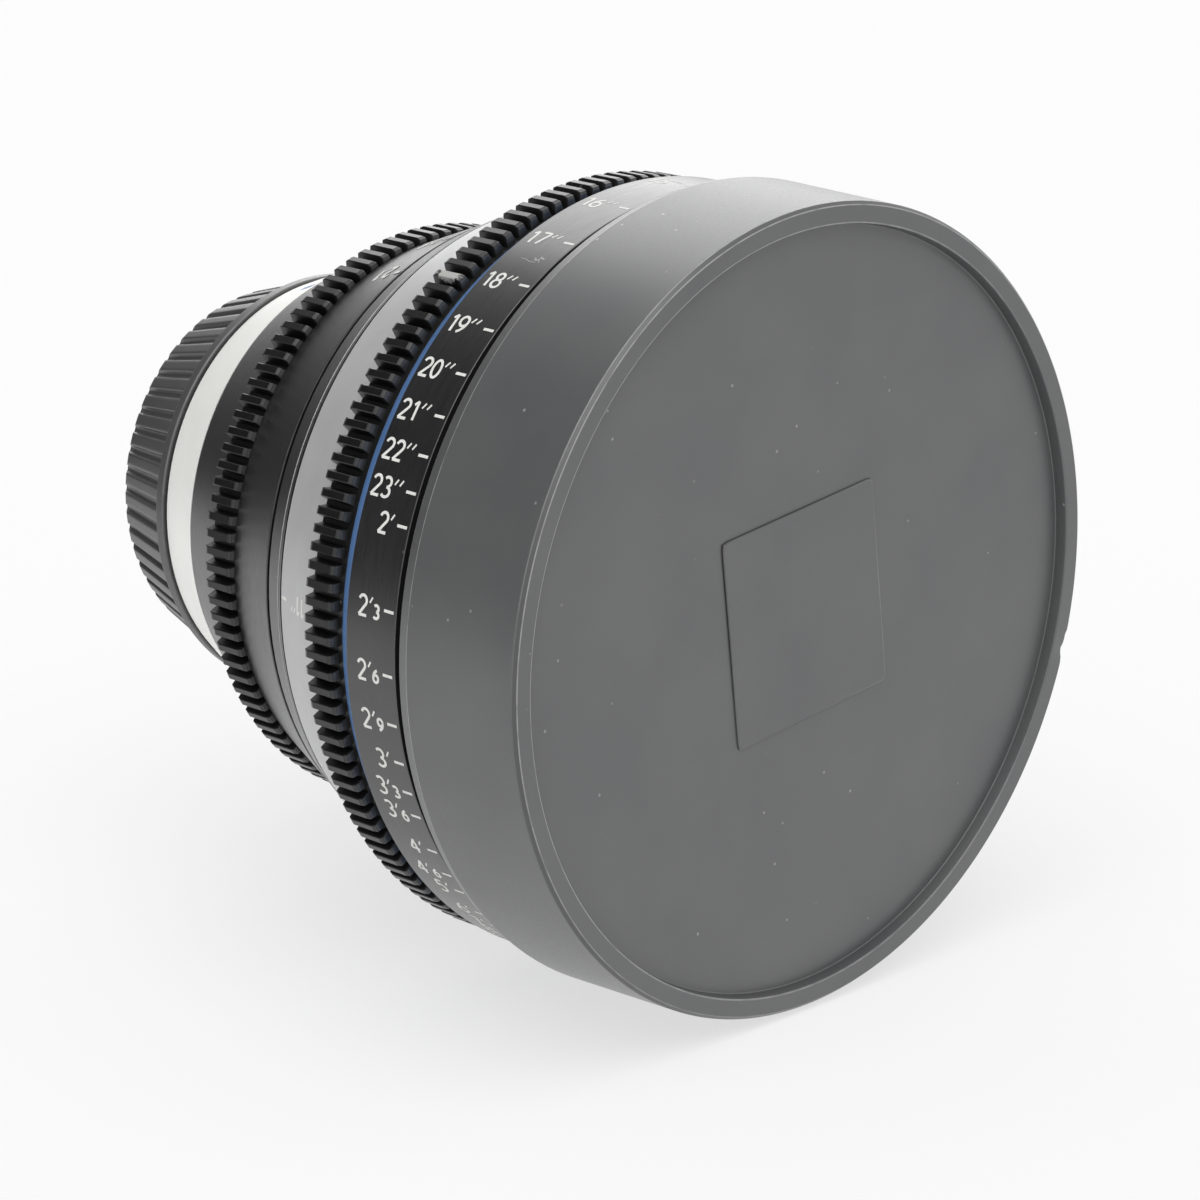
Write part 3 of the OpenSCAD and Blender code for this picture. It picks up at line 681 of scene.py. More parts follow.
@dataclass
class Figures:
    """Painted figures on a ring, carried as flat ribbons over its surface.

    The surface has radius r0 - y * slope at station y, which is a cylinder where slope is 0.
    """

    r0: float
    slope: float
    reading: Reading
    width: float = 0.42
    lift: float = 0.025

    def __post_init__(self) -> None:
        """Start with no strokes."""
        self.shell = Shell()

    def stroke(self, path: Array, angle: float, station: float, slim: float = 1.0) -> None:
        """Carry a rectangle along a flat path and lay it on the ring.

        The path's sideways normal, half the ribbon's width long, gives the two edges. A flat
        point (s, t) lies at station + s, and t divided by the radius turns it round the axis.

        Args:
            path: points in millimetres, shape (n, 2).
            angle: angle of the baseline in degrees.
            station: where the figure starts along the axis.
            slim: share of the full width.
        """
        step = np.gradient(path, axis=0)
        side = unit(np.stack([-step[:, 1], step[:, 0]], axis=-1)) * self.width * slim / 2
        flat = np.stack([path + side, path + side, path - side, path - side], axis=1)
        height = np.array([-self.lift, self.lift, self.lift, -self.lift])
        sign = self.reading.value
        y = station + sign * flat[..., 0]
        radius = self.r0 - y * self.slope
        turn = math.radians(angle) + sign * flat[..., 1] / radius
        self.shell.add(polar(radius + height, y, turn), caps=True)

    def write(self, text: str, angle: float, station: float, height: float) -> float:
        """Write a row of signs.

        Args:
            text: signs that glyph knows.
            angle: angle of the baseline in degrees.
            station: where the row starts along the axis.
            height: height of the digits in millimetres.

        Returns:
            The station where the row ends.
        """
        for sign in text:
            for path in glyph(sign):
                self.stroke(path * height, angle, station, SLIM.get(sign, 1.0))
            station += self.reading.value * ADVANCE.get(sign, DIGIT_ADVANCE) * height
        return station

    def tick(self, angle: float, start: float, end: float) -> None:
        """Lay one short line along the axis.

        Args:
            angle: its angle in degrees.
            start: station where it starts.
            end: station where it ends, onward in the reading's direction.
        """
        path = straight((0.0, 0.0), (abs(end - start), 0.0))[0]
        self.stroke(path, angle, start)


# Law of the distance scales: infinity's angle in degrees, and the two values that fit the near end
INFINITY_ANGLE = 252.2
FOCUS_RATE = 1845.9
FOCUS_NEAR = 3.727


def focus_angle(inches: float) -> float:
    """Angle of a distance on the front scale: it nears infinity's as one over the distance."""
    return INFINITY_ANGLE - FOCUS_RATE / (inches - FOCUS_NEAR)


# Sub-assemblies


def gear(teeth: int, bore: float, y0: float, y1: float, module: float = 0.8, reach: float = 0.7,
         drop: float = 0.6) -> Shell:
    """Gear ring whose radius is a toothed function of angle, rounded off at both ends.

    Over one pitch the radius steps from root to tip along straight flanks with a flat crown.
    At a share s of the reach from the inner end of a rounding, the crown is held below the tip
    by drop * (1 - sqrt(1 - s^2)).

    Args:
        teeth: number of teeth.
        bore: inner radius.
        y0: front station.
        y1: rear station.
        module: gear module.
        reach: length of the rounding at each end.
        drop: depth of the rounding at each end.

    Returns:
        The gear's surface.
    """
    root = module * (teeth - 2.5) / 2
    tip = module * (teeth + 2) / 2
    foot_half, shoulder_half, crown_half = 0.37, 0.235, 0.19
    shoulder = 0.94
    share = np.array([-0.5, -foot_half, -shoulder_half, -crown_half, crown_half, shoulder_half, foot_half])
    rise = np.array([0.0, 0.0, shoulder, 1.0, 1.0, shoulder, 0.0])
    angles = ((np.arange(teeth)[:, None] + share) / teeth * TURN).ravel()
    crown = np.tile(root + (tip - root) * rise, teeth)
    s = np.array([1.0, 0.8, 0.0])
    held = tip - drop * (1 - np.sqrt(1 - s**2))
    front = np.minimum(crown, held[:, None])
    below_root = 0.2
    flat = np.array([[bore], [root - below_root]]) * np.ones_like(crown)
    radius = np.concatenate([flat, front, front[::-1], flat[::-1]])
    inset = reach * (1 - s)
    station = np.concatenate([[y0, y0], y0 + inset, y1 - inset[::-1], [y1, y1]])[:, None]
    edge = np.tile((rise >= shoulder).astype(float), teeth)
    wear = np.array([0, 0, 1, 0.3, 0, 0, 0.3, 1, 0, 0])[:, None] * edge
    shell = Shell()
    shell.add(polar(radius, station, angles), wear, loop=True)
    return shell


@dataclass
class FrontCap:
    """Slip-on front cap with a raised rim, a nick in it and a bare raised panel."""

    face: float = -103.0
    recess: float = 1.9
    rim_in: float = 55.4
    front_r: float = 58.5
    rear_r: float = 59.0
    rear: float = -80.4
    bore: float = 57.06
    inside: float = -99.3
    wall_lean: float = 0.3
    front_bevel: tuple[float, float] = (0.5, 0.6)
    rear_bevel: tuple[float, float] = (0.75, 2.2)
    # Strength of the painted shade on the front bevel and on the recess's wall
    bevel_grime: float = 0.7
    wall_grime: float = 0.5
    nick_angle: float = -17.0
    nick_depths: tuple[float, float] = (0.55, 0.25)
    nick_widths: tuple[float, float] = (1.1, 0.6)
    nick_apart: float = 2.0
    panel_half: float = 15.5
    panel_rise: float = 0.3
    panel_turn: float = 7.0
    panel_square: float = 60.0
    panel_sink: float = 0.3
    panel_edge: float = 0.12
    panel_round: float = 0.08
    steps: int = 512
    panel_steps: int = 160

    def nick(self, angles: Array) -> Array:
        """Work out how far the nick sinks the rim: two bells, each depth * exp(-(angle / width)^2).

        Args:
            angles: angles round the axis.

        Returns:
            The depth at each angle in millimetres.
        """
        away = np.degrees(np.angle(np.exp(1j * (angles - math.radians(self.nick_angle)))))
        first = self.nick_depths[0] * np.exp(-((away / self.nick_widths[0]) ** 2))
        second = self.nick_depths[1] * np.exp(-(((away - self.nick_apart) / self.nick_widths[1]) ** 2))
        return first + second

    def body(self, shell: Shell) -> None:
        """Add the cap's outline, spun from the face's centre to the inner centre, and nick its rim.

        The edges are worn. A painted highlight makes them palest at the top and leaves the bevel's outer
        corner pale only in its upper half, and the recess's edge carries a painted highlight strongest at
        the left. The front bevel and the recess's wall carry painted shade.

        Args:
            shell: the surface to add to.
        """
        floor = self.face + self.recess
        front_in, front_back = self.front_bevel
        rear_in, rear_back = self.rear_bevel
        corners = np.array([
            (0, floor, 0), (self.rim_in - self.wall_lean, floor, 0.15), (self.rim_in, self.face, 0.25),
            (self.front_r - front_in, self.face, 0.14), (self.front_r, self.face + front_back, 0.14),
            (self.rear_r, self.rear - rear_back, 0.1), (self.rear_r - rear_in, self.rear, 0.15),
            (self.bore, self.rear, 0.15), (self.bore, self.inside, 0.4), (0, self.inside, 0)])
        outline, wear = rounded(corners[:, :2], corners[:, 2], closed=False)
        radius, depth = outline[:, 0], outline[:, 1] - self.face
        angles = circle(self.steps)
        rim = (radius > self.rim_in + 1) & (depth < 2 * front_back)
        station = outline[:, 1:] + rim[:, None] * self.nick(angles)
        # Masks of the outline's points: the bevel (painted shade), its outer corner (painted highlight), all
        # inside the rim (painted highlight at the left), the recess's wall (painted shade)
        bevel = (radius > self.front_r - 0.45) & (np.abs(depth - front_back / 2) < 0.2)
        corner = (radius > self.front_r - 0.1) & (np.abs(depth - front_back) < 0.3)
        inner = radius < self.rim_in + 0.5
        wall = (np.abs(radius - self.rim_in) < 0.6) & (np.abs(depth - self.recess + 0.8) < 0.75)
        # Painted highlight: edge wear is scaled up towards the top, the outer corner is lit only in its
        # upper half, and inside the rim the scale rises to the left and falls to 0 at the right
        height = np.sin(angles)
        share = np.where(corner[:, None], np.maximum(height, 0.0), 1.1 + 0.4 * height)
        share = share * (1 - inner[:, None] * np.cos(angles))
        # Painted shade on the front bevel and the recess's wall, carried as values below 0
        grime = self.bevel_grime * bevel + self.wall_grime * wall
        shell.add(polar(outline[:, :1], station, angles), wear[:, None] * share - grime[:, None])

    def panel(self, shell: Shell) -> None:
        """Add the panel, an edge profile carried round the square |u|^n + |v|^n = 1 to its centre.

        Its edge carries painted shade at the top left and a painted highlight at the right.

        Args:
            shell: the surface to add to.
        """
        floor = self.face + self.recess
        angles = circle(self.panel_steps)
        power = self.panel_square
        reach = (np.abs(np.cos(angles)) ** power + np.abs(np.sin(angles)) ** power) ** (-1 / power)
        half, rise = self.panel_half, self.panel_rise
        size = np.array([half, half, half - self.panel_edge, half - 2.5 * self.panel_edge, 0.0])
        level = floor + np.array([self.panel_sink, self.panel_round - rise, -rise, -rise, -rise])
        turned = angles + math.radians(self.panel_turn)
        # Painted shade along the top-left edge and a painted highlight along the right edge
        dark = np.clip(0.3 + 0.7 * (np.sin(turned) - np.cos(turned)), 0, 1)
        light = np.maximum(np.cos(turned), 0)
        wear = np.stack([-dark, -dark, 0.6 * light - 0.4 * dark, 0 * dark, 0 * dark])
        shell.add(polar(size[:, None] * reach, level[:, None], turned), wear)

    def build(self) -> None:
        """Make the cap."""
        shell = Shell()
        self.body(shell)
        self.panel(shell)
        dress(shell.piece("front_cap_moulding"), CAP_PLASTIC, Body.FRONT_CAP, "front_cap")


@dataclass
class RearCap:
    """Bayonet rear cap with soft ribs outside and three lugs inside."""

    ribs: int = 57
    depth: float = 0.7
    side: float = 31.6
    taper: float = 3.4
    rim: float = 32.4
    front: float = 0.35
    rear: float = 15.05
    cavity: float = 28.3
    hollow: float = 27.0
    lug_in: float = 25.95
    lug_half: float = 26.0
    lug_lead: float = 0.15
    lug_end: float = 1.2
    lug_root: float = 0.3
    rim_length: float = 1.5
    rim_step: float = 0.4
    end_bevel: float = 0.8
    end_land: float = 1.2
    slot_lead: float = 0.5
    slot_ramp: float = 0.25
    cavity_depth: float = 3.5
    wall: float = 2.4
    wear: float = 0.6

    def build(self) -> None:
        """Make the cap: a tapered side whose radius dips into slots between the ribs, and its lugs."""
        side_start = self.front + self.rim_length + self.rim_step
        side_end = self.rear - self.end_bevel
        slope = self.taper / (side_end - side_start)
        slot_start = side_start + self.slot_lead
        slot_full = slot_start + self.slot_ramp
        end_r = self.side - self.taper
        inside = self.rear - self.wall
        corners = np.array([
            (0, self.rear, 0), (end_r - self.depth - self.end_land, self.rear, 0.1),
            (end_r - self.end_bevel, self.rear, 0.2), (end_r, side_end, 0.3),
            (self.side - slope * (slot_full - side_start), slot_full, 0.05),
            (self.side - slope * (slot_start - side_start), slot_start, 0.05), (self.side, side_start, 0.1),
            (self.rim, self.front + self.rim_length, 0.15), (self.rim, self.front, 0.3),
            (self.cavity, self.front, 0.2), (self.cavity, self.front + self.cavity_depth, 0.2),
            (self.hollow, inside, 0.4), (0, inside, 0)])
        outline, wear = rounded(corners[:, :2], corners[:, 2], closed=False)
        # One side of a slot: angles as shares of the pitch, and the share of the depth reached there
        half = np.array([0.11, 0.15, 0.19, 0.23, 0.36])
        fall = np.array([1.0, 0.85, 0.15, 0.0, 0.0])
        share = np.concatenate([[-0.5], -half[::-1], [0.0], half])
        dip = np.concatenate([[0.0], fall[::-1], [1.0], fall])
        angles = ((np.arange(self.ribs)[:, None] + share) / self.ribs * TURN).ravel()
        floor = self.side - slope * (outline[:, 1:] - side_start) - self.depth * np.tile(dip, self.ribs)
        outside = np.arange(len(outline)) < outline[:, 0].argmax()
        slotted = outside & (outline[:, 1] > slot_start + self.slot_ramp / 2)
        radius = np.where(slotted[:, None], np.minimum(outline[:, :1], floor), outline[:, :1])
        shell = Shell()
        shell.add(polar(radius, outline[:, 1:], angles), wear[:, None] * self.wear)
        low, high = self.front + self.lug_lead, self.front + self.lug_end
        root = self.cavity + self.lug_root
        for middle in (60, 180, 300):
            shell.sector([(self.lug_in, low, 0.15), (root, low, 0.15), (root, high, 0.15),
                          (self.lug_in, high, 0.15)], middle, self.lug_half)
        dress(shell.piece("rear_cap_moulding", 40), REAR_PLASTIC, Body.REAR_CAP, "rear_cap")


@dataclass
class Barrel:
    """Fixed barrels, front baffle, bayonet, the blue mounting mark and a pale bead that paints the highlight
    on the index ring's edge.
    """

    front_r: float = 57.0
    tube: float = 52.2
    lip: float = -98.95
    lip_bevel: float = 0.8
    step: float = -80.6
    neck: float = -79.9
    neck_drop: float = 1.6
    front_end: float = -78.75
    ridges: int = 14
    ridge_height: float = 0.35
    baffle_front: float = -98.75
    baffle_rear: float = -93.15
    baffle_mouth: float = 47.4
    baffle_throat: float = 37.14
    baffle_land: float = 1.0
    baffle_wall: float = 1.5
    baffle_seat: tuple[float, float] = (49.0, -96.95)
    mount_bore: float = 32.54
    spigot_r: float = 35.54
    spigot: float = -24.6
    mount_front: float = -22.7
    mount_rear: float = -10.7
    mount_lip: float = -13.7
    mount_throat: float = -16.7
    mount_hole: float = 26.6
    bayonet_in: float = 24.0
    bayonet_out: float = 25.6
    bayonet_front: float = -10.5
    bayonet_rear: float = 6.2
    lug_root: float = 25.2
    lug_out: float = 27.2
    lug_front: float = 1.9
    lug_rear: float = 3.5
    lug_half: float = 28.0
    mark_angle: float = 106.2
    mark_start: float = -6.6
    mark_length: float = 2.8
    mark_width: float = 1.1
    mark_lift: float = 0.03
    # A thin pale bead painted as the highlight on the index ring's edge
    index_edge_y: float = -45.6
    index_edge_half: float = 0.12
    index_edge_rise: float = 0.05
    index_edge_sink: float = 0.1

    def front(self) -> None:
        """Make the front barrel, with a bevelled lip and the step behind the cap."""
        neck_r = self.front_r - self.neck_drop
        shell = Shell()
        shell.ring([(self.tube, self.lip, 0.2), (self.front_r - self.lip_bevel, self.lip, 0.15),
                    (self.front_r, self.lip + self.lip_bevel, 0.15), (self.front_r, self.step, 0.1),
                    (neck_r, self.neck, 0.1), (neck_r, self.front_end, 0.1),
                    (self.tube, self.front_end, 0.1)])
        dress(shell.piece("front_barrel_tube"), BLACK, Body.BARREL, "front_barrel")

    def baffle(self) -> None:
        """Make the baffle, a cone with ridges: a saw-tooth height set along the cone's outline."""
        start = np.array([self.baffle_mouth, self.baffle_front])
        end = np.array([self.baffle_throat, self.baffle_rear - self.baffle_land])
        share = np.repeat(np.linspace(0.04, 0.96, self.ridges), 2)
        lift = np.tile([0.0, self.ridge_height], self.ridges)
        across = unit(np.array([[end[1] - start[1], start[0] - end[0]]]))
        saw = start + (end - start) * share[:, None] + across * lift[:, None]
        back = np.array([(self.baffle_throat, self.baffle_rear),
                         (self.baffle_throat + self.baffle_wall, self.baffle_rear), self.baffle_seat,
                         (self.tube, self.baffle_seat[1]), (self.tube, self.baffle_front)])
        outline = np.concatenate([[start], saw, [end], back])
        shell = Shell()
        shell.add(polar(outline[:, :1], outline[:, 1:], circle()), loop=True)
        dress(shell.piece("front_baffle_cone", 20), INNER, Body.BARREL, "front_baffle")

    def mount(self) -> None:
        """Make the tapered mount barrel and the bayonet with its lugs."""
        shell = Shell()
        shell.ring([(self.mount_bore, self.spigot, 0.2), (self.spigot_r, self.spigot, 0.2),
                    (self.spigot_r, self.mount_front, 0.1), (cone(self.mount_front), self.mount_front, 0.15),
                    (cone(self.mount_rear), self.mount_rear, 0.12), (self.mount_hole, self.mount_rear, 0.1),
                    (self.mount_hole, self.mount_lip, 0.1), (self.mount_bore, self.mount_throat, 0.2)])
        dress(shell.piece("mount_barrel_taper"), BLACK, Body.BARREL, "mount_barrel")
        shell = Shell()
        shell.ring([(self.bayonet_in, self.bayonet_front, 0.1), (self.bayonet_out, self.bayonet_front, 0.1),
                    (self.bayonet_out, self.bayonet_rear, 0.4), (self.bayonet_in, self.bayonet_rear, 0.2)])
        for middle in (0, 120, 240):
            shell.sector([(self.lug_root, self.lug_front, 0.15), (self.lug_out, self.lug_front, 0.2),
                          (self.lug_out, self.lug_rear, 0.2), (self.lug_root, self.lug_rear, 0.15)],
                         middle, self.lug_half)
        dress(shell.piece("bayonet_tube"), STEEL, Body.BARREL, "bayonet")

    def marks(self) -> None:
        """Paint the blue mounting mark, and make a thin pale bead round the index ring as a painted
        highlight of its edge.
        """
        mark = Figures(FLANGE_R, TAPER, Reading.TO_FRONT, width=self.mark_width, lift=self.mark_lift)
        mark.tick(self.mark_angle, self.mark_start, self.mark_start - self.mark_length)
        dress(mark.shell.piece("mount_mark"), BLUE, Body.BARREL)
        # Painted highlight: a pale grey bead stands in for the light caught by the index ring's edge
        shell = Shell()
        radius, middle, half = cone(self.index_edge_y), self.index_edge_y, self.index_edge_half
        shell.ring([(radius - self.index_edge_sink, middle - half, 0.01),
                    (radius + self.index_edge_rise, middle, 0.02),
                    (radius - self.index_edge_sink, middle + half, 0.01)])
        dress(shell.piece("index_edge"), GREY, Body.BARREL)

    def build(self) -> None:
        """Make the fixed pieces."""
        self.front()
        self.baffle()
        self.mount()
        self.marks()


@dataclass
class FocusRing:
    """Focus ring: distance scale, blue cone, gear, grey ring and the painted figures."""

    teeth: int = 140
    sleeve: float = 54.3
    scale_r: float = 57.2
    front: float = -78.4
    line: float = -67.8
    line_drop: float = 2.0
    band_lead: float = 0.85
    band_seat: float = 0.5
    gear_front: float = -64.8
    gear_rear: float = -59.2
    grey_rear: float = -46.9
    grey_bore: float = 45.28
    grey_seat: float = 52.26
    grey_step: tuple[float, float] = (-57.7, -54.2)
    tick_start: float = 0.55
    tick_length: float = 1.9
    digit: float = 2.75
    part_share: float = 0.66
    drop: float = 1.45
    far: float = 1e6
    inch_start: float = -69.3
    part_start: float = -70.9
    foot_start: float = -72.4
    rear_turn: float = 179.7
    rear_start: float = -55.5
    rear_digit: float = 2.6
    rear_drop: float = 1.5
    rear_mean_r: float = 52.0
    rear_ticks: tuple[float, float] = (-49.0, -47.3)
    scratch_width: float = 0.07
    scratch_lift: float = 0.012

    def rings(self) -> None:
        """Make the turned rings and the gear."""
        band = self.line - self.band_lead
        shell = Shell()
        shell.ring([(self.sleeve, self.front, 0.1), (self.scale_r, self.front, 0.15),
                    (self.scale_r, band, 0.02), (self.sleeve, band, 0.1)])
        dress(shell.piece("distance_ring"), BLACK, Body.FOCUS, "focus_scale_ring")
        foot_r = self.scale_r - self.line_drop
        foot = self.gear_front - self.band_lead
        seat = self.sleeve + self.band_seat
        shell = Shell()
        shell.ring([(seat, band, 0.05), (self.scale_r, band, 0.03), (foot_r, foot, 0.02),
                    (seat, foot, 0.05)])
        dress(shell.piece("blue_band"), BLUE, Body.FOCUS, "focus_line")
        shell = Shell()
        shell.ring([(self.sleeve, band, 0.05), (seat, band, 0.05), (seat, foot, 0.05), (foot_r, foot, 0.02),
                    (foot_r, self.gear_front, 0.05), (self.sleeve, self.gear_front, 0.05)])
        dress(shell.piece("band_foot"), GEAR_BLACK, Body.FOCUS, "focus_line")
        toothed = gear(self.teeth, self.sleeve, self.gear_front, self.gear_rear)
        dress(toothed.piece("focus_teeth", 20), GEAR_BLACK, Body.FOCUS, "focus_gear")
        step_front, step_rear = self.grey_step
        shell = Shell()
        shell.ring([(self.grey_seat, self.gear_rear, 0.1), (cone(self.gear_rear), self.gear_rear, 0.15),
                    (cone(self.grey_rear), self.grey_rear, 0.15), (self.grey_bore, self.grey_rear, 0.1),
                    (self.grey_bore, step_rear, 0.2), (self.grey_seat, step_front, 0.2)])
        dress(shell.piece("grey_distance_ring"), GREY, Body.FOCUS, "focus_rear_scale")

    def front_figures(self) -> None:
        """Paint the front scale, in inches below two feet and in feet and inches above.

        Each row has a distance in inches, a whole number, its stroke and the inches past whole feet.
        The distance far stands for infinity.
        """
        paint = Figures(self.scale_r, 0.0, Reading.TO_FRONT)
        inches_past = {2: (0, 3, 6, 9), 3: (0, 3, 6), 4: (0, 6)}
        rows = [(inch, f"{inch}", "''", "") for inch in range(11, 24)]
        for feet in (2, 3, 4, 5, 6, 7, 8, 10, 12, 15, 20, 30):
            for inch in inches_past.get(feet, (0,)):
                rows.append((feet * 12 + inch, f"{feet}", "'", str(inch) if inch else ""))
        rows.append((self.far, "-", "", ""))
        for inches, whole, stroke, part in rows:
            angle = focus_angle(inches)
            baseline = angle + math.degrees(self.drop / self.scale_r)
            one_digit = self.part_start if part else self.foot_start
            start = self.inch_start if len(whole) > 1 else one_digit
            end = paint.write(whole, baseline, start, self.digit)
            end = paint.write(stroke, baseline, end, self.digit)
            if part:
                paint.write(part, baseline, end, self.part_share * self.digit)
            tick_end = self.front + self.tick_start
            paint.tick(angle, tick_end + self.tick_length, tick_end)
        dress(paint.shell.piece("distance_figures"), WHITE, Body.FOCUS)

    def scratches(self) -> None:
        """Scratch the scale below one figure with thin wavy strokes.

        A stroke of a given length has t = slant * length * s + swing * sin(rate * s), for s from 0 to 1.
        """
        paint = Figures(self.scale_r, 0.0, Reading.TO_FRONT, self.scratch_width, self.scratch_lift)
        s = np.linspace(0.0, 1.0, ARC_POINTS)
        for length, slant, swing, rate, start, angle in (
                (3.0, -0.10, 0.10, 7.0, -72.0, 118.0), (1.5, -0.32, 0.22, 11.0, -74.1, 117.5),
                (1.2, 0.55, 0.16, 9.0, -74.3, 117.9), (1.0, -0.25, 0.20, 14.0, -75.0, 117.1)):
            path = np.stack([length * s, slant * length * s + swing * np.sin(rate * s)], axis=-1)
            paint.stroke(path, angle, start)
        dress(paint.shell.piece("scale_scratches"), GREY, Body.FOCUS)

    def rear_figures(self) -> None:
        """Paint the grey ring's scale, half a turn round and read from the other side."""
        paint = Figures(FLANGE_R, TAPER, Reading.TO_REAR)
        rows = [(inch, f"{inch}", "''") for inch in (11, 12, 13, 14, 16, 18, 20)]
        rows += [(feet * 12, f"{feet}", "'") for feet in (2, 3, 4, 5, 7, 10, 20)]
        for inches, whole, stroke in rows:
            angle = focus_angle(inches) + self.rear_turn
            baseline = angle - math.degrees(self.rear_drop / self.rear_mean_r)
            end = paint.write(whole, baseline, self.rear_start, self.rear_digit)
            paint.write(stroke, baseline, end, self.rear_digit)
            paint.tick(angle, *self.rear_ticks)
        dress(paint.shell.piece("grey_ring_figures"), WHITE, Body.FOCUS)

    def build(self) -> None:
        """Make the whole ring."""
        self.rings()
        self.front_figures()
        self.scratches()
        self.rear_figures()


@dataclass
class IrisRing:
    """Iris ring: tapered aperture scale, gear and the painted stops."""

    teeth: int = 108
    bore: float = 38.6
    gear_bore: float = 40.6
    front: float = -41.05
    front_inset: float = 0.1
    gear_front: float = -28.75
    gear_rear: float = -23.05
    widest_stop: float = 2.1
    widest_angle: float = 117.0
    degrees_per_stop: float = 15.02
    digit: float = 2.6
    digit_width: float = 0.58
    digit_start: float = -37.6
    drop: float = 3.2
    mean_r: float = 46.5
    tick_turn: float = 1.2
    tick_start: float = 0.4
    tick_length: float = 1.5

    def rings(self) -> None:
        """Make the tapered ring and its gear."""
        shell = Shell()
        shell.ring([(self.bore, self.front, 0.1), (cone(self.front) - self.front_inset, self.front, 0.3),
                    (cone(self.gear_front), self.gear_front, 0.12), (self.gear_bore, self.gear_front, 0.1),
                    (self.gear_bore, self.gear_rear, 0.1), (self.bore, self.gear_rear, 0.1)])
        dress(shell.piece("aperture_ring"), BLACK, Body.IRIS, "iris_scale_ring")
        toothed = gear(self.teeth, self.gear_bore, self.gear_front, self.gear_rear)
        dress(toothed.piece("iris_teeth", 20), GEAR_BLACK, Body.IRIS, "iris_gear")

    def figures(self) -> None:
        """Paint the stops: each lies 2 * log2(stop / widest) even steps round from the widest."""
        paint = Figures(FLANGE_R, TAPER, Reading.TO_REAR, width=self.digit_width)
        tick_front = self.front + self.tick_start
        for stop in ("2.1", "2.8", "4", "5.6", "8", "11", "16"):
            stops = 2 * math.log2(float(stop) / self.widest_stop)
            angle = self.widest_angle - self.degrees_per_stop * stops
            baseline = angle - math.degrees(self.drop / self.mean_r)
            paint.write(stop, baseline, self.digit_start, self.digit)
            paint.tick(angle - self.tick_turn, tick_front, tick_front + self.tick_length)
        dress(paint.shell.piece("aperture_figures"), WHITE, Body.IRIS)

    def build(self) -> None:
        """Make the whole ring."""
        self.rings()
        self.figures()


@dataclass
class GlassElement:
    """One lens element between two spherical faces. A negative ball is hollow."""

    name: str
    body: Body
    front: float
    rear: float
    radius: float
    ball_front: float
    ball_rear: float
    rows: int = 25
    columns: int = 128

    def build(self) -> None:
        """Make the element: its face at radius r lies ball - sqrt(ball^2 - r^2) from the vertex."""
        r = np.linspace(0, self.radius, self.rows)
        sag_front = np.abs(self.ball_front) - np.sqrt(self.ball_front**2 - r**2)
        sag_rear = np.abs(self.ball_rear) - np.sqrt(self.ball_rear**2 - r**2)
        front = self.front + math.copysign(1, self.ball_front) * sag_front
        rear = self.rear - math.copysign(1, self.ball_rear) * sag_rear
        outline = np.concatenate([np.stack([r, front], -1), np.stack([r, rear], -1)[::-1]])
        shell = Shell()
        shell.add(polar(outline[:, :1], outline[:, 1:], circle(self.columns)))
        dress(shell.piece(f"{self.name}_glass"), GLASS, self.body, self.name)


ELEMENTS = [
    GlassElement("element_1", Body.FRONT_GROUP, front=-94.95, rear=-90.95, radius=34.0,
                 ball_front=90.0, ball_rear=-60.0),
    GlassElement("element_2", Body.FRONT_GROUP, front=-83.95, rear=-81.45, radius=28.0,
                 ball_front=60.0, ball_rear=-35.0),
    GlassElement("element_8", Body.BARREL, front=-7.6, rear=-2.1, radius=16.5,
                 ball_front=60.0, ball_rear=90.0),
]

SOLID_FINISHES: dict[Finish, tuple[str, ...]] = {
    BLACK: ("main_barrel", "index_ring"),
    SILVER: ("mount_ring",),
    STEEL: ("index_screws", "mount_screws", "mount_shim", "follower_pin", "iris_pin", "iris_cam"),
    BRASS: ("focus_sleeve", "guide_keys"),
    INNER: ("carriage", "front_cell", "front_cell_ring", "iris_housing", "rear_cell", "rear_cell_ring"),
    BLADE: tuple(f"blade_{i:02d}" for i in range(1, 15)),
    GLASS: ("element_3", "element_4", "element_5", "element_6", "element_7"),
}


def dress_solids() -> None:
    """Give each solid that still shows its finish."""
    for finish, names in SOLID_FINISHES.items():
        for name in names:
            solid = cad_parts[name]
            solid.data.materials.clear()
            solid.data.materials.append(material_of(finish))
        log.info("%s: %d solids", finish.name, len(names))


# Studio


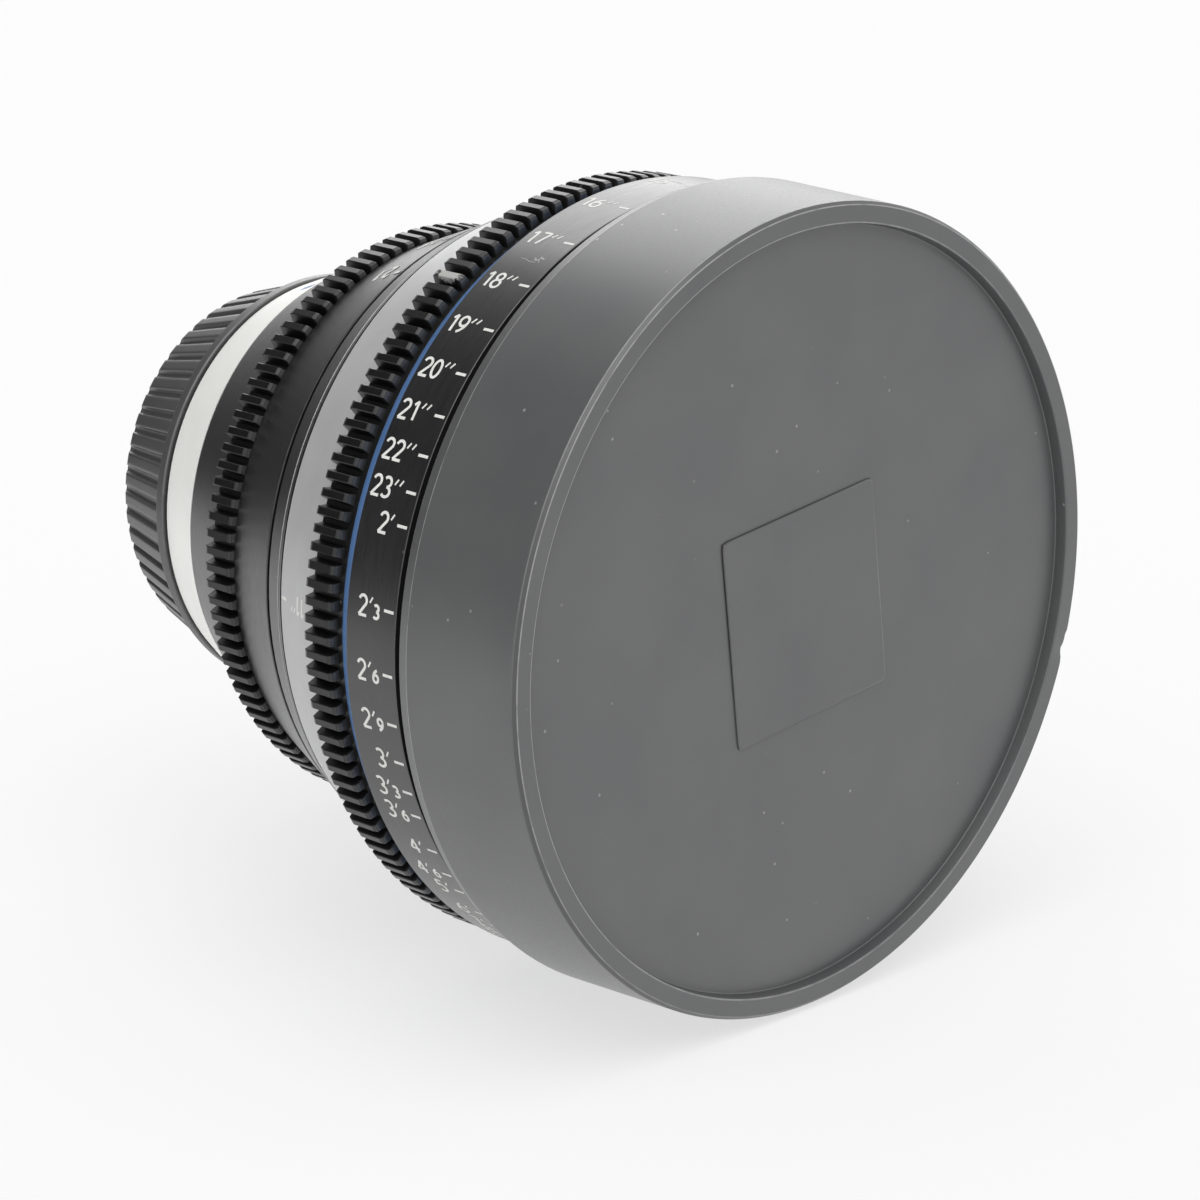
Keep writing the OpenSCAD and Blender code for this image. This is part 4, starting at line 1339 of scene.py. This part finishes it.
@dataclass
class Studio:
    """Pale floor, soft light and the camera. Places are in metres."""

    eye: tuple[float, float, float] = (-0.44845, -0.50817, 0.18109)
    look: tuple[float, float, float] = (0.67859, 0.67741, -0.28395)
    focal: float = 135.0
    sensor: float = 36.0
    floor_z: float = -0.0592
    floor_half: float = 4.0
    floor_lines: int = 9
    floor_white: Colour = (0.93, 0.93, 0.93)
    floor_shade: Colour = (0.91, 0.91, 0.915)
    floor_patch: float = 900.0
    floor_glow: float = 0.65
    floor_fall: tuple[float, float, float, float] = (0.22, 0.5, 1.0, 0.12)
    overhead_power: float = 1.35
    overhead_spread: float = 60.0
    overhead: tuple[float, float, float] = (-0.33, -0.33, 0.88)
    ambient: float = 0.62
    dark_side: tuple[float, float, float] = (-0.39, 0.88, 0.28)
    dark_fall: tuple[float, float, float, float] = (0.64, 0.90, 1.0, 0.03)
    panel_place: tuple[float, float, float] = (0.88, 0.74, 0.80)
    panel_size: tuple[float, float] = (1.15, 1.5)
    panel_power: float = 10.5

    def camera(self) -> None:
        """Make the camera of the photograph's angle."""
        data = bpy.data.cameras.new("camera")
        data.lens = self.focal
        data.sensor_width = self.sensor
        data.dof.use_dof = False
        camera = bpy.data.objects.new("camera", data)
        camera.location = self.eye
        camera.rotation_mode = "QUATERNION"
        camera.rotation_quaternion = Vector(self.look).to_track_quat("-Z", "Y")
        bpy.context.scene.collection.objects.link(camera)
        bpy.context.scene.camera = camera

    def floor(self) -> None:
        """Make the floor, a flat grid that is a little lighter to the camera than its light alone.

        Rays through glass see it as the camera does. In gloss it is white near the lens and dims
        towards the dark side.
        """
        line = np.linspace(-self.floor_half, self.floor_half, self.floor_lines)
        x, y = np.meshgrid(line, line, indexing="ij")
        points = np.stack([x, y, np.full_like(x, self.floor_z)], axis=-1).reshape(-1, 3)
        index = np.arange(x.size).reshape(x.shape)
        quads = np.stack([index[:-1, :-1], index[1:, :-1], index[1:, 1:], index[:-1, 1:]], axis=-1)
        mesh = bpy.data.meshes.new("floor")
        mesh.from_pydata(points.tolist(), [], quads.reshape(-1, 4).tolist())
        floor = bpy.data.objects.new("floor", mesh)
        bpy.context.scene.collection.objects.link(floor)
        nodes = Nodes("floor_white")
        nodes.set(Roughness=0.9, Specular_IOR_Level=0.1)
        nodes.colour(nodes.blend(nodes.noise(self.floor_patch), self.floor_white, self.floor_shade))
        glow = nodes.tree.nodes.new("ShaderNodeEmission")
        path = nodes.tree.nodes.new("ShaderNodeLightPath").outputs
        mix = nodes.tree.nodes.new("ShaderNodeMixShader")
        direct = nodes.math("MAXIMUM", path["Is Camera Ray"], path["Is Transmission Ray"])
        seen = nodes.math("MULTIPLY", direct, self.floor_glow)
        nodes.feed(mix.inputs[0], nodes.math("MAXIMUM", seen, path["Is Glossy Ray"]))
        away = nodes.tree.nodes.new("ShaderNodeVectorMath")
        away.operation = "DOT_PRODUCT"
        nodes.feed(away.inputs[0], nodes.place)
        away.inputs[1].default_value = Vector(self.dark_side).normalized()
        dim = nodes.span(away.outputs["Value"], *self.floor_fall)
        nodes.feed(glow.inputs["Strength"], nodes.math("MAXIMUM", dim, direct))
        nodes.feed(mix.inputs[1], nodes.shader.outputs[0])
        nodes.feed(mix.inputs[2], glow.outputs[0])
        nodes.feed(nodes.tree.nodes["Material Output"].inputs["Surface"], mix.outputs[0])
        mesh.materials.append(nodes.material)

    def world(self) -> None:
        """Light the scene from all round, with a white background for the camera and through glass.

        In gloss the white room has one dark side: its strength falls from 1 to nearly 0 as the
        cosine between the ray and the dark side's direction rises.
        """
        world = bpy.data.worlds.new("studio")
        bpy.context.scene.world = world
        world.use_nodes = True
        tree = world.node_tree
        path = tree.nodes.new("ShaderNodeLightPath").outputs
        turn = tree.nodes.new("ShaderNodeVectorMath")
        turn.operation = "DOT_PRODUCT"
        turn.inputs[1].default_value = Vector(self.dark_side).normalized()
        tree.links.new(tree.nodes.new("ShaderNodeTexCoord").outputs["Generated"], turn.inputs[0])
        seen = tree.nodes.new("ShaderNodeMath")
        seen.operation = "MAXIMUM"
        tree.links.new(path["Is Camera Ray"], seen.inputs[0])
        tree.links.new(path["Is Transmission Ray"], seen.inputs[1])
        room, gloss, strength = (tree.nodes.new("ShaderNodeMapRange") for _ in range(3))
        for name, value in zip(("From Min", "From Max", "To Min", "To Max"), self.dark_fall):
            room.inputs[name].default_value = value
        gloss.inputs["To Min"].default_value = self.ambient
        strength.inputs["To Max"].default_value = 1.0
        for start, end in ((turn.outputs["Value"], room.inputs["Value"]),
                           (path["Is Glossy Ray"], gloss.inputs["Value"]),
                           (room.outputs["Result"], gloss.inputs["To Max"]),
                           (seen.outputs[0], strength.inputs["Value"]),
                           (gloss.outputs["Result"], strength.inputs["To Min"]),
                           (strength.outputs["Result"], tree.nodes["Background"].inputs["Strength"])):
            tree.links.new(start, end)
        tree.nodes["Background"].inputs["Color"].default_value = (1.0, 1.0, 1.0, 1.0)

    def lamps(self) -> None:
        """Make one wide soft lamp above, and a panel behind that only shows in gloss."""
        data = bpy.data.lights.new("overhead", "SUN")
        data.energy = self.overhead_power
        data.angle = math.radians(self.overhead_spread)
        lamp = bpy.data.objects.new("overhead", data)
        lamp.rotation_mode = "QUATERNION"
        lamp.rotation_quaternion = (-Vector(self.overhead)).to_track_quat("-Z", "Y")
        bpy.context.scene.collection.objects.link(lamp)
        data = bpy.data.lights.new("back_panel", "AREA")
        data.shape = "RECTANGLE"
        data.size, data.size_y = self.panel_size
        data.energy = self.panel_power
        panel = bpy.data.objects.new("back_panel", data)
        panel.location = self.panel_place
        panel.rotation_mode = "QUATERNION"
        panel.rotation_quaternion = (-Vector(self.panel_place)).to_track_quat("-Z", "Y")
        panel.visible_camera = False
        panel.visible_diffuse = False
        bpy.context.scene.collection.objects.link(panel)

    def build(self) -> None:
        """Make the whole studio."""
        bpy.context.scene.view_settings.view_transform = "Standard"
        self.camera()
        self.floor()
        self.world()
        self.lamps()


def main() -> None:
    """Build the studio and every sub-assembly in order."""
    Studio().build()
    FrontCap().build()
    RearCap().build()
    Barrel().build()
    FocusRing().build()
    IrisRing().build()
    for element in ELEMENTS:
        element.build()
    dress_solids()


if __name__ == "__main__":
    main()
